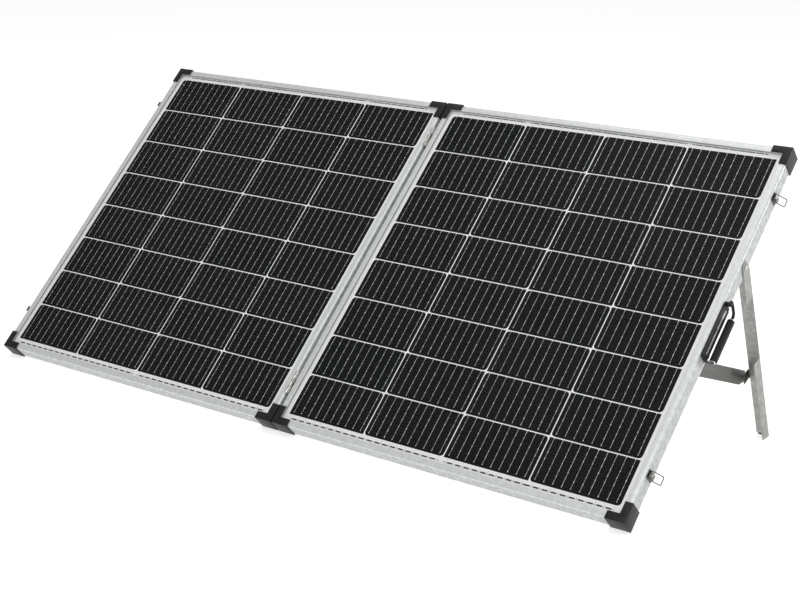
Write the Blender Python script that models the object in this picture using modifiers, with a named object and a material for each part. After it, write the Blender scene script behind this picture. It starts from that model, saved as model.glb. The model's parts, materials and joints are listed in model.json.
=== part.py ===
"""Folding solar suitcase, opened out and standing on its two braced legs.

Everything is in metres. The two framed panels lie in one tilted plane, the deck. In the deck's own axes
x runs along the width from the fold line, y runs up the slope from the panels' lower edge and z points
out of the glass, with z = 0 on the front of the aluminium frames. The right panel is modelled, and the
pieces that both panels have are mirrored to the left one, which turns about the fold line.
"""
from math import cos, pi, radians, sin, tan

import bmesh
import bpy
from mathutils import Matrix, Vector

MM = 0.001
FIT = 0.3 * MM              # gap between neighbouring pieces
RUNNING = 0.3 * MM          # radial gap round a pin, bolt or wire

PANEL_WIDTH = 779 * MM
PANEL_HEIGHT = 800 * MM
FRAME_DEPTH = 32 * MM
PANEL_GAP = 7 * MM          # between the two frames along the fold line
DECK_TILT = radians(42.43)  # glass plane above the ground

FRAME_WALL = 1.8 * MM
LIP_WIDTH = 13.5 * MM       # front lip, and the ledge under the laminate
GLASS_SLOT = 6 * MM
REAR_FLANGE = 25 * MM

GLASS = 3.2 * MM
CELL_SHEET = 0.6 * MM
BACKSHEET = 0.6 * MM
LAMINATE_EDGE_GAP = 0.5 * MM

CAP_ARM = 38 * MM
CAP_LIP = 14 * MM
CAP_WALL = 1.6 * MM

BOX_LENGTH = 110 * MM       # junction box on each panel's back
BOX_HEIGHT = 60 * MM
BOX_DEPTH = 15 * MM
BOX_WALL = 2 * MM
BOX_FROM_TOP = 95 * MM
GLAND_RADIUS = 5 * MM
GLAND_NUT_RADIUS = 8 * MM
GLAND_NUT_LENGTH = 5 * MM
GLAND_NOSE = 4 * MM         # rounded end past the nut
GLAND_THREAD = 4 * MM       # inside the box

HINGE_LENGTH = 50 * MM
HINGE_FROM_END = 90 * MM
HINGE_LEAF = 1.5 * MM
HINGE_LEAF_DEPTH = 26 * MM
HINGE_RISE = 2.5 * MM       # hinge axis in front of the frames
KNUCKLE_RADIUS = 3.2 * MM
HINGE_PIN_RADIUS = 1.3 * MM
HINGE_PIN_HEAD = 1.2 * MM
LEAF_SHOULDER = 0.6 * MM    # room between a leaf and the other leaf's knuckle

LEG_OPEN = radians(68.3)    # between the leg and the panel's slope
LEG_ABOVE_HANDLE = 144 * MM # leg pivot up the slope from the handle
LEG_PIVOT_FROM_BACK = 12 * MM
LEG_WALL = 2 * MM
LEG_FLANGE_FRONT = 10.7 * MM
LEG_WEB = 25 * MM
LEG_WEB_START = 11 * MM
NOTCH_MARGIN = 13 * MM      # room past each end of the handle base
FOOT_SOLE = 4 * MM
FOOT_HEIGHT = 16 * MM
FOOT_WALL = 2.4 * MM
FOOT_WIDTH = 20 * MM
BOLT_RADIUS = 3 * MM
BOLT_HEAD_RADIUS = 5 * MM
BOLT_HEAD = 2.2 * MM
BOLT_NUT = 4 * MM

BRACE_OPEN = radians(63.3)  # between the brace and the panel's slope
BRACE_BELOW_LEG = 216.5 * MM
BRACE_PIVOT_FROM_BACK = 7 * MM
BRACE_HALF_HEIGHT = 14.5 * MM
BRACE_WALL = 2 * MM
BRACE_CREASE = 6 * MM
BRACE_TAIL = 7 * MM
BRACE_TIP = 10 * MM
BRACE_CHAMFER = 13.6 * MM
BRACKET_WALL = 1.5 * MM
BRACKET_LENGTH = 24 * MM
BRACKET_REACH = 20 * MM
BRACE_PIN_RADIUS = 2 * MM
BRACE_PIN_HEAD = 3.2 * MM
BRACE_PIN_HEAD_DEPTH = 1.6 * MM
BRACE_PIN_TAIL = 2 * MM
BRACKET_EAR = 7 * MM        # ear in front of the brace pin
CATCH_LENGTH = 20 * MM
CATCH_HOLE = 3 * MM
CATCH_EAR = 6 * MM

LATCH_FROM_BOTTOM = 100 * MM
LATCH_FROM_TOP = 106 * MM
LATCH_DEPTH = 8 * MM        # lever pivot behind the frame's front
LATCH_PLATE_FRONT = 5 * MM  # base plate before and behind the lever pivot
LATCH_PLATE_BACK = 18 * MM
LATCH_PLATE = 1.2 * MM
LATCH_WIDTH = 17 * MM
LATCH_AXIS_OUT = 4.5 * MM
LEVER_WIDTH = 10 * MM
LEVER_LENGTH = 14 * MM
LEVER_HUB = 2.6 * MM
LEVER_CORNER = 1.8 * MM
LEVER_SHOULDER = 2 * MM
LEVER_NECK = 4 * MM
LEVER_TAB = 1.3 * MM
LEVER_TAB_FRONT = 1.4 * MM
LEVER_TIP = 2.2 * MM
BAIL_END = 2 * MM           # wire inside the lever, past its side
LATCH_PIN_RADIUS = 1 * MM
BAIL_OFFSET = 4 * MM        # bail hole behind the lever pivot
BAIL_WIRE_RADIUS = 0.9 * MM
BAIL_REACH = 21 * MM
BAIL_DROOP = radians(40)    # the open bail's lean towards the back
BAIL_HALF_WIDTH = 8.4 * MM
BAIL_BEND = 1.5 * MM
KEEPER_WIDTH = 12 * MM
KEEPER_LENGTH = 12 * MM
KEEPER_WALL = 1.3 * MM

HANDLE_BELOW_MIDDLE = 2.5 * MM
HANDLE_BASE_LENGTH = 116 * MM
HANDLE_BASE_WIDTH = 29 * MM
HANDLE_BASE_PLATE = 2.5 * MM
HANDLE_BASE_FRONT = 1.5 * MM    # behind the frame's front
HANDLE_SLOT_DEPTH = 19.2 * MM
HANDLE_SLOT_LENGTH = 98 * MM
HANDLE_SLOT_WIDTH = 7 * MM
HANDLE_AXIS_OUT = 10.4 * MM # keeps the grip clear of the folding leg
HANDLE_AXIS_DEPTH = 6.2 * MM
HANDLE_EAR_RADIUS = 4.6 * MM
HANDLE_EAR_LENGTH = 5 * MM
HANDLE_ROD_RADIUS = 2.8 * MM
HANDLE_REACH = 31 * MM
GRIP_LENGTH = 88 * MM
GRIP_RADIUS = 7.3 * MM
GRIP_CHAMFER = 1 * MM
ROD_BEND = 3 * MM           # corner of the rod where it enters the grip
ROD_CLEARANCE = 1.2 * MM
ROD_END = 0.5 * MM          # past each ear's inner face
ROD_STUB = 0.8 * MM         # past each ear's outer face
ROD_CORNER = 2.4 * MM
ROD_ARM = 7 * MM
GRIP_TO_ARM = 4 * MM

OUTER_X = PANEL_GAP / 2 + PANEL_WIDTH
INNER_X = PANEL_GAP / 2
MIDDLE_X = (INNER_X + OUTER_X) / 2
CAP_PROUD = FIT + CAP_WALL
HEEL_HEIGHT = CAP_PROUD * sin(DECK_TILT) + (FRAME_DEPTH + CAP_PROUD) * cos(DECK_TILT)
LEG_LEAN = LEG_OPEN + DECK_TILT - pi / 2            # leg from the vertical
BRACKET_EAR_X = -REAR_FLANGE - 0.8 * MM             # clear of the rear flange's edge
BRACE_FACE_X = BRACKET_EAR_X - BRACKET_WALL - 0.5 * MM
HANDLE_HEIGHT = PANEL_HEIGHT / 2 - HANDLE_BELOW_MIDDLE
LEG_PIVOT_DEPTH = FRAME_DEPTH - LEG_PIVOT_FROM_BACK
BRACE_PIVOT_DEPTH = FRAME_DEPTH - BRACE_PIVOT_FROM_BACK
LEG_PIVOT_HEIGHT = HANDLE_HEIGHT + LEG_ABOVE_HANDLE
BRACE_PIVOT_HEIGHT = LEG_PIVOT_HEIGHT - BRACE_BELOW_LEG
LATCH_HEIGHTS = {"lower": LATCH_FROM_BOTTOM, "upper": PANEL_HEIGHT - LATCH_FROM_TOP}
# The brace's two ends and the leg's pivot make a triangle when the leg stands open.
PIVOT_SETBACK = BRACE_PIVOT_DEPTH - LEG_PIVOT_DEPTH
BRACE_SPAN = BRACE_BELOW_LEG * sin(LEG_OPEN) - PIVOT_SETBACK * cos(LEG_OPEN)
BRACE_LENGTH = BRACE_SPAN / sin(LEG_OPEN + BRACE_OPEN)
LEG_CATCH_PLACE = (PIVOT_SETBACK + BRACE_LENGTH * sin(BRACE_OPEN)) / sin(LEG_OPEN)
SEGMENTS = 20

for leftover in list(bpy.data.objects):
    bpy.data.objects.remove(leftover)

parts = bpy.data.collections.new("solar_suitcase_kit")
bpy.context.scene.collection.children.link(parts)


def finish(name, colour, roughness, metallic=0.0):
    """A plain Principled material."""
    made = bpy.data.materials.new(name)
    made.use_nodes = True
    shader = made.node_tree.nodes["Principled BSDF"]
    shader.inputs["Base Color"].default_value = (*colour, 1)
    shader.inputs["Roughness"].default_value = roughness
    shader.inputs["Metallic"].default_value = metallic
    return made


ALUMINIUM = finish("anodised_aluminium", (0.78, 0.79, 0.78), 0.35, 1.0)
DARK_ALUMINIUM = finish("mill_aluminium", (0.42, 0.43, 0.41), 0.5, 1.0)
STEEL = finish("nickel_steel", (0.55, 0.55, 0.53), 0.3, 1.0)
BLACK_STEEL = finish("black_steel", (0.025, 0.025, 0.025), 0.4)
BLACK_PLASTIC = finish("black_plastic", (0.02, 0.02, 0.02), 0.5)
RUBBER = finish("black_rubber", (0.03, 0.03, 0.03), 0.7)
CLEAR_GLASS = finish("glass", (0.6, 0.65, 0.65), 0.05)
CELLS = finish("solar_cells", (0.01, 0.012, 0.02), 0.2)
WHITE_SHEET = finish("white_backsheet", (0.85, 0.85, 0.85), 0.6)


def empty(name, parent, location, turn=0.0):
    """A joint or reference frame, turned about its own x axis."""
    made = bpy.data.objects.new(name, None)
    parts.objects.link(made)
    made.parent = parent
    made.location = location
    made.rotation_euler = (turn, 0, 0)
    return made


def part(name, mesh, look, parent, location=(0, 0, 0), smooth=False):
    """One named piece with its own material, placed in its parent's frame."""
    mesh.materials.clear()
    mesh.materials.append(look)
    if smooth:
        mesh.shade_smooth()
        mesh.set_sharp_from_angle(angle=radians(40))
    made = bpy.data.objects.new(name, mesh)
    parts.objects.link(made)
    made.parent = parent
    made.location = location
    return made


def evaluated_mesh(made, turn=Matrix()):
    """The object's final mesh, welded and facing out, and the object removed."""
    bpy.context.view_layer.update()
    seen = made.evaluated_get(bpy.context.evaluated_depsgraph_get())
    mesh = bpy.data.meshes.new_from_object(seen)
    bpy.data.objects.remove(made)
    shape = bmesh.new()
    shape.from_mesh(mesh)
    bmesh.ops.remove_doubles(shape, verts=shape.verts, dist=0.00001)
    bmesh.ops.transform(shape, matrix=turn, verts=shape.verts)
    bmesh.ops.recalc_face_normals(shape, faces=shape.faces)
    shape.to_mesh(mesh)
    shape.free()
    return mesh


def box(low, high):
    """A block between two corners."""
    low, high = Vector(low), Vector(high)
    place = Matrix.Translation((low + high) / 2) @ Matrix.Diagonal((*(high - low), 1))
    shape = bmesh.new()
    bmesh.ops.create_cube(shape, size=1, matrix=place)
    mesh = bpy.data.meshes.new("box")
    shape.to_mesh(mesh)
    shape.free()
    return mesh


def frame_matrix(across, up, origin=(0, 0, 0)):
    """Axes for an outline: its first coordinate runs across, its second up, and it is extruded square."""
    across, up = Vector(across), Vector(up)
    turn = Matrix((across, up, across.cross(up))).transposed().to_4x4()
    return Matrix.Translation(origin) @ turn


def prism(outline, length, turn=Matrix()):
    """A flat outline extruded half its length each way, then turned into place."""
    curve = bpy.data.curves.new("outline", "CURVE")
    curve.dimensions = "2D"
    curve.fill_mode = "BOTH"
    curve.extrude = length / 2
    spline = curve.splines.new("POLY")
    spline.points.add(len(outline) - 1)
    for point, (first, second) in zip(spline.points, outline):
        point.co = (first, second, 0, 1)
    spline.use_cyclic_u = True
    made = bpy.data.objects.new("outline", curve)
    parts.objects.link(made)
    return evaluated_mesh(made, turn)


def rod(points, radius):
    """A bent round rod with closed ends."""
    curve = bpy.data.curves.new("rod", "CURVE")
    curve.dimensions = "3D"
    curve.bevel_depth = radius
    curve.bevel_resolution = 2
    curve.use_fill_caps = True
    spline = curve.splines.new("POLY")
    spline.points.add(len(points) - 1)
    for point, place in zip(spline.points, points):
        point.co = (*place, 1)
    made = bpy.data.objects.new("rod", curve)
    parts.objects.link(made)
    return evaluated_mesh(made)


def turned(profile, axis="X"):
    """A solid of revolution from (place along the axis, radius) pairs, closed on the axis."""
    mesh = bpy.data.meshes.new("profile")
    places = [(radius, 0, along) for along, radius in profile]
    edges = [(index, index + 1) for index in range(len(places) - 1)]
    mesh.from_pydata(places, edges, [])
    made = bpy.data.objects.new("profile", mesh)
    parts.objects.link(made)
    screw = made.modifiers.new("turn", "SCREW")
    screw.steps = SEGMENTS
    screw.render_steps = SEGMENTS
    screw.use_merge_vertices = True
    screw.merge_threshold = 0.00001
    turn = Matrix.Rotation(pi / 2, 4, "Y") if axis == "X" else Matrix.Rotation(-pi / 2, 4, "X")
    return evaluated_mesh(made, turn)


def joined(base, tool, operation="DIFFERENCE"):
    """The base mesh with the tool mesh cut out of it or added to it."""
    work = bpy.data.objects.new("work", base)
    cutter = bpy.data.objects.new("cutter", tool)
    for made in (work, cutter):
        parts.objects.link(made)
    step = work.modifiers.new("step", "BOOLEAN")
    step.operation = operation
    step.object = cutter
    mesh = evaluated_mesh(work)
    bpy.data.objects.remove(cutter)
    return mesh


def bored(mesh, radius, start, end, centre):
    """The mesh with a round hole through it from start to end along x, at centre (y, z)."""
    drill = turned([(start, 0), (start, radius), (end, radius), (end, 0)])
    drill.transform(Matrix.Translation((0, *centre)))
    return joined(mesh, drill)


def arc(centre, radius, first, last, steps=8):
    """Points along an arc, in degrees from the first coordinate's direction."""
    angles = [radians(first + (last - first) * step / steps) for step in range(steps + 1)]
    return [(centre[0] + radius * cos(angle), centre[1] + radius * sin(angle)) for angle in angles]


def mirrored(piece, parent, offset=(0, 0, 0)):
    """The left panel's twin of a right-hand piece."""
    mesh = piece.data.copy()
    mesh.transform(Matrix.Scale(-1, 4, (1, 0, 0)))
    mesh.flip_normals()
    made = bpy.data.objects.new(piece.name.replace("right_", "left_"), mesh)
    parts.objects.link(made)
    made.parent = parent
    x, y, z = piece.location
    made.location = Vector((-x, y, z)) - Vector(offset)
    return made


def rail_mesh(middle, across, length):
    """A mitred frame rail: an open channel with a front lip, a glass ledge and a rear flange."""
    ledge = FRAME_WALL + GLASS_SLOT
    outline = [
        (0, 0), (LIP_WIDTH, 0), (LIP_WIDTH, -FRAME_WALL), (FRAME_WALL, -FRAME_WALL),
        (FRAME_WALL, -ledge), (LIP_WIDTH, -ledge), (LIP_WIDTH, -ledge - FRAME_WALL),
        (FRAME_WALL, -ledge - FRAME_WALL), (FRAME_WALL, FRAME_WALL - FRAME_DEPTH),
        (REAR_FLANGE, FRAME_WALL - FRAME_DEPTH), (REAR_FLANGE, -FRAME_DEPTH), (0, -FRAME_DEPTH),
    ]
    mesh = prism(outline, length)
    for corner in mesh.vertices:
        inward = corner.co.x + FIT
        corner.co.z += -inward if corner.co.z > 0 else inward
    mesh.transform(frame_matrix(across, (0, 0, 1), middle))
    return mesh


def make_frame(panel):
    """Four mitred rails round the right panel."""
    middle_y = PANEL_HEIGHT / 2
    rails = {
        "outer": ((OUTER_X, middle_y, 0), (-1, 0, 0), PANEL_HEIGHT),
        "hinge_side": ((INNER_X, middle_y, 0), (1, 0, 0), PANEL_HEIGHT),
        "bottom": ((MIDDLE_X, 0, 0), (0, 1, 0), PANEL_WIDTH),
        "top": ((MIDDLE_X, PANEL_HEIGHT, 0), (0, -1, 0), PANEL_WIDTH),
    }
    made = []
    for side, (middle, across, length) in rails.items():
        mesh = rail_mesh(middle, across, length)
        if side == "outer":
            bolt = (LEG_PIVOT_HEIGHT, -LEG_PIVOT_DEPTH)
            mesh = bored(mesh, BOLT_RADIUS + RUNNING, OUTER_X - 2 * FRAME_WALL, OUTER_X + FRAME_WALL, bolt)
        made.append(part(f"right_{side}_rail", mesh, ALUMINIUM, panel))
    return made


def make_laminate(panel):
    """Glass, cell sheet and backsheet in the frame's slot."""
    margin = FRAME_WALL + LAMINATE_EDGE_GAP
    made = []
    front = -FRAME_WALL - FIT
    sheets = (
        ("glass", GLASS, CLEAR_GLASS),
        ("cell_sheet", CELL_SHEET, CELLS),
        ("backsheet", BACKSHEET, WHITE_SHEET),
    )
    for name, thickness, look in sheets:
        low = (INNER_X + margin, margin, front - thickness)
        high = (OUTER_X - margin, PANEL_HEIGHT - margin, front)
        made.append(part(f"right_{name}", box(low, high), look, panel))
        front -= thickness + FIT
    return made


def cap_mesh(x_sign, y_sign):
    """A moulded corner protector, drawn inward from the frame's corner and mirrored to its corner."""
    proud = CAP_PROUD
    far = 2 * CAP_ARM
    mesh = box((-proud, -proud, -FRAME_DEPTH - proud), (CAP_ARM, CAP_ARM, proud))
    mesh = joined(mesh, box((-FIT, -FIT, -FRAME_DEPTH - FIT), (far, far, FIT)))
    mesh = joined(mesh, box((CAP_LIP, CAP_LIP, -2 * FRAME_DEPTH), (far, far, FRAME_DEPTH)))
    mesh.transform(Matrix.Diagonal((x_sign, y_sign, 1, 1)))
    if x_sign * y_sign < 0:
        mesh.flip_normals()
    return mesh


def make_caps(panel):
    """A cap on each corner of the right panel."""
    corners = {
        "bottom_outer": (OUTER_X, 0, -1, 1),
        "top_outer": (OUTER_X, PANEL_HEIGHT, -1, -1),
        "bottom_inner": (INNER_X, 0, 1, 1),
        "top_inner": (INNER_X, PANEL_HEIGHT, 1, -1),
    }
    return [
        part(f"right_{name}_cap", cap_mesh(x_sign, y_sign), BLACK_PLASTIC, panel, (x, y, 0))
        for name, (x, y, x_sign, y_sign) in corners.items()
    ]


def make_junction_box(panel):
    """The box on the panel's back: a tub, its lid and an empty cable gland."""
    back = -FRAME_WALL - GLASS - CELL_SHEET - BACKSHEET - 4 * FIT
    place = (MIDDLE_X, PANEL_HEIGHT - BOX_FROM_TOP, back)
    half_length, half_height = BOX_LENGTH / 2, BOX_HEIGHT / 2
    inner_length, inner_height = half_length - BOX_WALL, half_height - BOX_WALL
    tub = box((-half_length, -half_height, -BOX_DEPTH), (half_length, half_height, 0))
    hollow = box((-inner_length, -inner_height, -2 * BOX_DEPTH), (inner_length, inner_height, -BOX_WALL))
    tub = joined(tub, hollow)
    gland_depth = BOX_WALL + (BOX_DEPTH - BOX_WALL) / 2
    drill = turned([(-1, 0), (-1, GLAND_RADIUS + FIT), (0, GLAND_RADIUS + FIT), (0, 0)], "Y")
    drill.transform(Matrix.Translation((0, 0, -gland_depth)))
    tub = joined(tub, drill)
    step = BOX_WALL + FIT
    seat = -BOX_DEPTH - FIT
    lid = box((-half_length, -half_height, seat - BOX_WALL), (half_length, half_height, seat))
    rim = box(
        (step - half_length, step - half_height, -BOX_DEPTH - FIT - BOX_WALL / 2),
        (half_length - step, half_height - step, -BOX_DEPTH + BOX_WALL / 2),
    )
    lid = joined(lid, rim, "UNION")
    wall = -half_height
    nose = wall - GLAND_NUT_LENGTH - GLAND_NOSE
    gland = turned([
        (nose, 0), (nose, GLAND_RADIUS), (wall - GLAND_NUT_LENGTH, GLAND_NUT_RADIUS),
        (wall - FIT, GLAND_NUT_RADIUS), (wall - FIT, GLAND_RADIUS),
        (wall + GLAND_THREAD, GLAND_RADIUS), (wall + GLAND_THREAD, 0),
    ], "Y")
    gland.transform(Matrix.Translation((0, 0, -gland_depth)))
    return [
        part("right_junction_box", tub, BLACK_PLASTIC, panel, place),
        part("right_junction_lid", lid, BLACK_PLASTIC, panel, place),
        part("right_cable_gland", gland, BLACK_PLASTIC, panel, place, smooth=True),
    ]


def foot_line(depth, length):
    """How far down the leg the ground is, at a place in front of or behind the leg's pivot."""
    return length - depth * tan(LEG_LEAN)


def make_leg(leg, panel):
    """The angle-section leg, drawn folded down the frame: flange outside the rail, web behind it."""
    pivot_height = HEEL_HEIGHT + LEG_PIVOT_HEIGHT * sin(DECK_TILT) - LEG_PIVOT_DEPTH * cos(DECK_TILT)
    length = pivot_height / cos(LEG_LEAN)
    web_front = -LEG_PIVOT_FROM_BACK - FIT
    web_back = web_front - LEG_WALL
    half_notch = HANDLE_BASE_LENGTH / 2 + NOTCH_MARGIN
    notch_start = LEG_PIVOT_HEIGHT - HANDLE_HEIGHT - half_notch
    notch_end = notch_start + 2 * half_notch
    outline = arc((0, 0), LEG_FLANGE_FRONT, 90, -60)
    outline += [
        (-LEG_WEB_START, web_back), (-foot_line(web_back, length) + FIT, web_back),
        (-foot_line(LEG_FLANGE_FRONT, length) + FIT, LEG_FLANGE_FRONT),
        (-notch_end, LEG_FLANGE_FRONT), (-notch_end, web_front),
        (-notch_start, web_front), (-notch_start, LEG_FLANGE_FRONT),
    ]
    side_view = frame_matrix((0, 1, 0), (0, 0, 1), (FIT + LEG_WALL / 2, 0, 0))
    flange = prism(outline, LEG_WALL, side_view)
    web_end = foot_line(web_front, length) - FOOT_SOLE
    outside = FIT + LEG_WALL
    web = box((outside - LEG_WEB, -web_end, web_back), (outside, -LEG_WEB_START, web_front))
    mesh = bored(joined(flange, web, "UNION"), BOLT_RADIUS + RUNNING, 0, 2 * outside, (0, 0))
    made = [part("right_leg", mesh, DARK_ALUMINIUM, leg)]

    foot_back = web_back - FIT - FOOT_WALL
    foot_outline = [
        (-foot_line(web_front, length), web_front),
        (-web_end - FIT, web_front), (-web_end - FIT, web_back - FIT),
        (-web_end + FOOT_HEIGHT, web_back - FIT), (-web_end + FOOT_HEIGHT, foot_back),
        (-foot_line(foot_back, length), foot_back),
    ]
    middle = outside - LEG_WALL - FIT - FOOT_WIDTH / 2
    foot = prism(foot_outline, FOOT_WIDTH, frame_matrix((0, 1, 0), (0, 0, 1), (middle, 0, 0)))
    made.append(part("right_leg_foot", foot, RUBBER, leg))

    ear_x = BRACKET_EAR_X
    catch_back = web_back - FIT
    catch_outline = [
        (ear_x - BRACKET_WALL, CATCH_EAR), (ear_x - BRACKET_WALL, catch_back - BRACKET_WALL),
        (ear_x + BRACKET_REACH, catch_back - BRACKET_WALL), (ear_x + BRACKET_REACH, catch_back),
        (ear_x, catch_back), (ear_x, CATCH_EAR),
    ]
    catch = prism(catch_outline, CATCH_LENGTH, frame_matrix((1, 0, 0), (0, 0, 1), (0, -LEG_CATCH_PLACE, 0)))
    catch = bored(catch, CATCH_HOLE, ear_x - 2 * BRACKET_WALL, ear_x + BRACKET_WALL, (-LEG_CATCH_PLACE, 0))
    made.append(part("right_leg_catch", catch, STEEL, leg))

    head = outside + FIT
    nut = -FRAME_WALL - FIT
    bolt = turned([
        (nut - BOLT_NUT, 0), (nut - BOLT_NUT, BOLT_HEAD_RADIUS), (nut, BOLT_HEAD_RADIUS), (nut, BOLT_RADIUS),
        (head, BOLT_RADIUS), (head, BOLT_HEAD_RADIUS), (head + 0.45 * BOLT_HEAD, 0.9 * BOLT_HEAD_RADIUS),
        (head + 0.9 * BOLT_HEAD, BOLT_HEAD_RADIUS / 2), (head + BOLT_HEAD, 0),
    ])
    place = (OUTER_X, LEG_PIVOT_HEIGHT, -LEG_PIVOT_DEPTH)
    made.append(part("right_leg_bolt", bolt, STEEL, panel, place, smooth=True))
    return made


def make_brace(brace, panel):
    """The creased strut, drawn folded up the slope, its bracket on the rear flange and its pin."""
    face = BRACE_FACE_X
    edge = face - BRACE_CREASE
    outline = [
        (face, 0), (edge, BRACE_HALF_HEIGHT), (edge - BRACE_WALL, BRACE_HALF_HEIGHT), (face - BRACE_WALL, 0),
        (edge - BRACE_WALL, -BRACE_HALF_HEIGHT), (edge, -BRACE_HALF_HEIGHT),
    ]
    end = BRACE_LENGTH + BRACE_TIP
    middle = (end - BRACE_TAIL) / 2
    mesh = prism(outline, end + BRACE_TAIL, frame_matrix((1, 0, 0), (0, 0, 1), (0, middle, 0)))
    low = -BRACE_HALF_HEIGHT
    corner = [
        (end - BRACE_CHAMFER, low), (end, low + 0.7 * BRACE_CHAMFER), (2 * end, low + 0.7 * BRACE_CHAMFER),
        (2 * end, 2 * low), (end - BRACE_CHAMFER, 2 * low),
    ]
    mesh = joined(mesh, prism(corner, 0.2, frame_matrix((0, 1, 0), (0, 0, 1))))
    back = edge - 2 * BRACE_WALL
    mesh = bored(mesh, BRACE_PIN_RADIUS + RUNNING, back, face + BRACE_WALL, (0, 0))
    mesh = bored(mesh, CATCH_HOLE, back, face + BRACE_WALL, (BRACE_LENGTH, 0))
    made = [part("right_brace", mesh, DARK_ALUMINIUM, brace)]

    ear = BRACKET_EAR_X
    seat = FRAME_WALL + FIT - BRACE_PIVOT_FROM_BACK
    bracket_outline = [
        (ear - BRACKET_WALL, BRACKET_EAR), (ear - BRACKET_WALL, seat), (ear + BRACKET_REACH, seat),
        (ear + BRACKET_REACH, seat + BRACKET_WALL), (ear, seat + BRACKET_WALL), (ear, BRACKET_EAR),
    ]
    bracket = prism(bracket_outline, BRACKET_LENGTH, frame_matrix((1, 0, 0), (0, 0, 1)))
    bracket = bored(bracket, BRACE_PIN_RADIUS + RUNNING, ear - 2 * BRACKET_WALL, ear + BRACKET_WALL, (0, 0))
    place = (OUTER_X, BRACE_PIVOT_HEIGHT, -BRACE_PIVOT_DEPTH)
    made.append(part("right_brace_bracket", bracket, STEEL, panel, place))

    head = ear + FIT
    crown = face - BRACE_WALL - BRACE_CREASE * BRACE_PIN_HEAD / BRACE_HALF_HEIGHT - FIT
    tail = crown - BRACE_PIN_TAIL
    pin = turned([
        (tail, 0), (tail, BRACE_PIN_HEAD), (crown, BRACE_PIN_HEAD), (crown, BRACE_PIN_RADIUS),
        (head, BRACE_PIN_RADIUS), (head, BRACE_PIN_HEAD),
        (head + BRACE_PIN_HEAD_DEPTH, BRACE_PIN_HEAD), (head + BRACE_PIN_HEAD_DEPTH, 0),
    ])
    made.append(part("right_brace_pin", pin, STEEL, panel, place, smooth=True))
    return made


def hinge_leaf(sign, segments):
    """One leaf on its frame's inner side, with knuckles on the given thirds of its length."""
    third = HINGE_LENGTH / 3
    inside = INNER_X - FIT - HINGE_LEAF
    low = min(sign * inside, sign * (inside + HINGE_LEAF))
    high = low + HINGE_LEAF
    shoulder = HINGE_RISE - KNUCKLE_RADIUS - LEAF_SHOULDER
    mesh = box((low, -HINGE_LENGTH / 2, -HINGE_LEAF_DEPTH), (high, HINGE_LENGTH / 2, shoulder))
    for index in segments:
        start = -HINGE_LENGTH / 2 + index * third + FIT / 2
        end = start + third - FIT
        mesh = joined(mesh, box((low, start, shoulder - HINGE_LEAF), (high, end, HINGE_RISE)), "UNION")
        knuckle = turned([(start, 0), (start, KNUCKLE_RADIUS), (end, KNUCKLE_RADIUS), (end, 0)], "Y")
        knuckle.transform(Matrix.Translation((0, 0, HINGE_RISE)))
        mesh = joined(mesh, knuckle, "UNION")
    bore = HINGE_PIN_RADIUS + RUNNING
    drill = turned([(-HINGE_LENGTH, 0), (-HINGE_LENGTH, bore), (HINGE_LENGTH, bore), (HINGE_LENGTH, 0)], "Y")
    drill.transform(Matrix.Translation((0, 0, HINGE_RISE)))
    return joined(mesh, drill)


def make_hinges(right_panel, left_panel):
    """Two butt hinges whose axis lies just in front of the frames."""
    half = HINGE_LENGTH / 2
    head, crown = half + FIT, half + FIT + HINGE_PIN_HEAD
    pin_profile = [
        (-half, 0), (-half, HINGE_PIN_RADIUS), (head, HINGE_PIN_RADIUS), (head, KNUCKLE_RADIUS * 0.8),
        (crown, KNUCKLE_RADIUS * 0.8), (crown, 0),
    ]
    for name, height in (("lower", HINGE_FROM_END), ("upper", PANEL_HEIGHT - HINGE_FROM_END)):
        part(f"{name}_hinge_right_leaf", hinge_leaf(1, (0, 2)), STEEL, right_panel, (0, height, 0))
        part(f"{name}_hinge_left_leaf", hinge_leaf(-1, (1,)), STEEL, left_panel, (0, height, -HINGE_RISE))
        place = (0, height, HINGE_RISE)
        part(f"{name}_hinge_pin", turned(pin_profile, "Y"), STEEL, right_panel, place, smooth=True)


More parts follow.
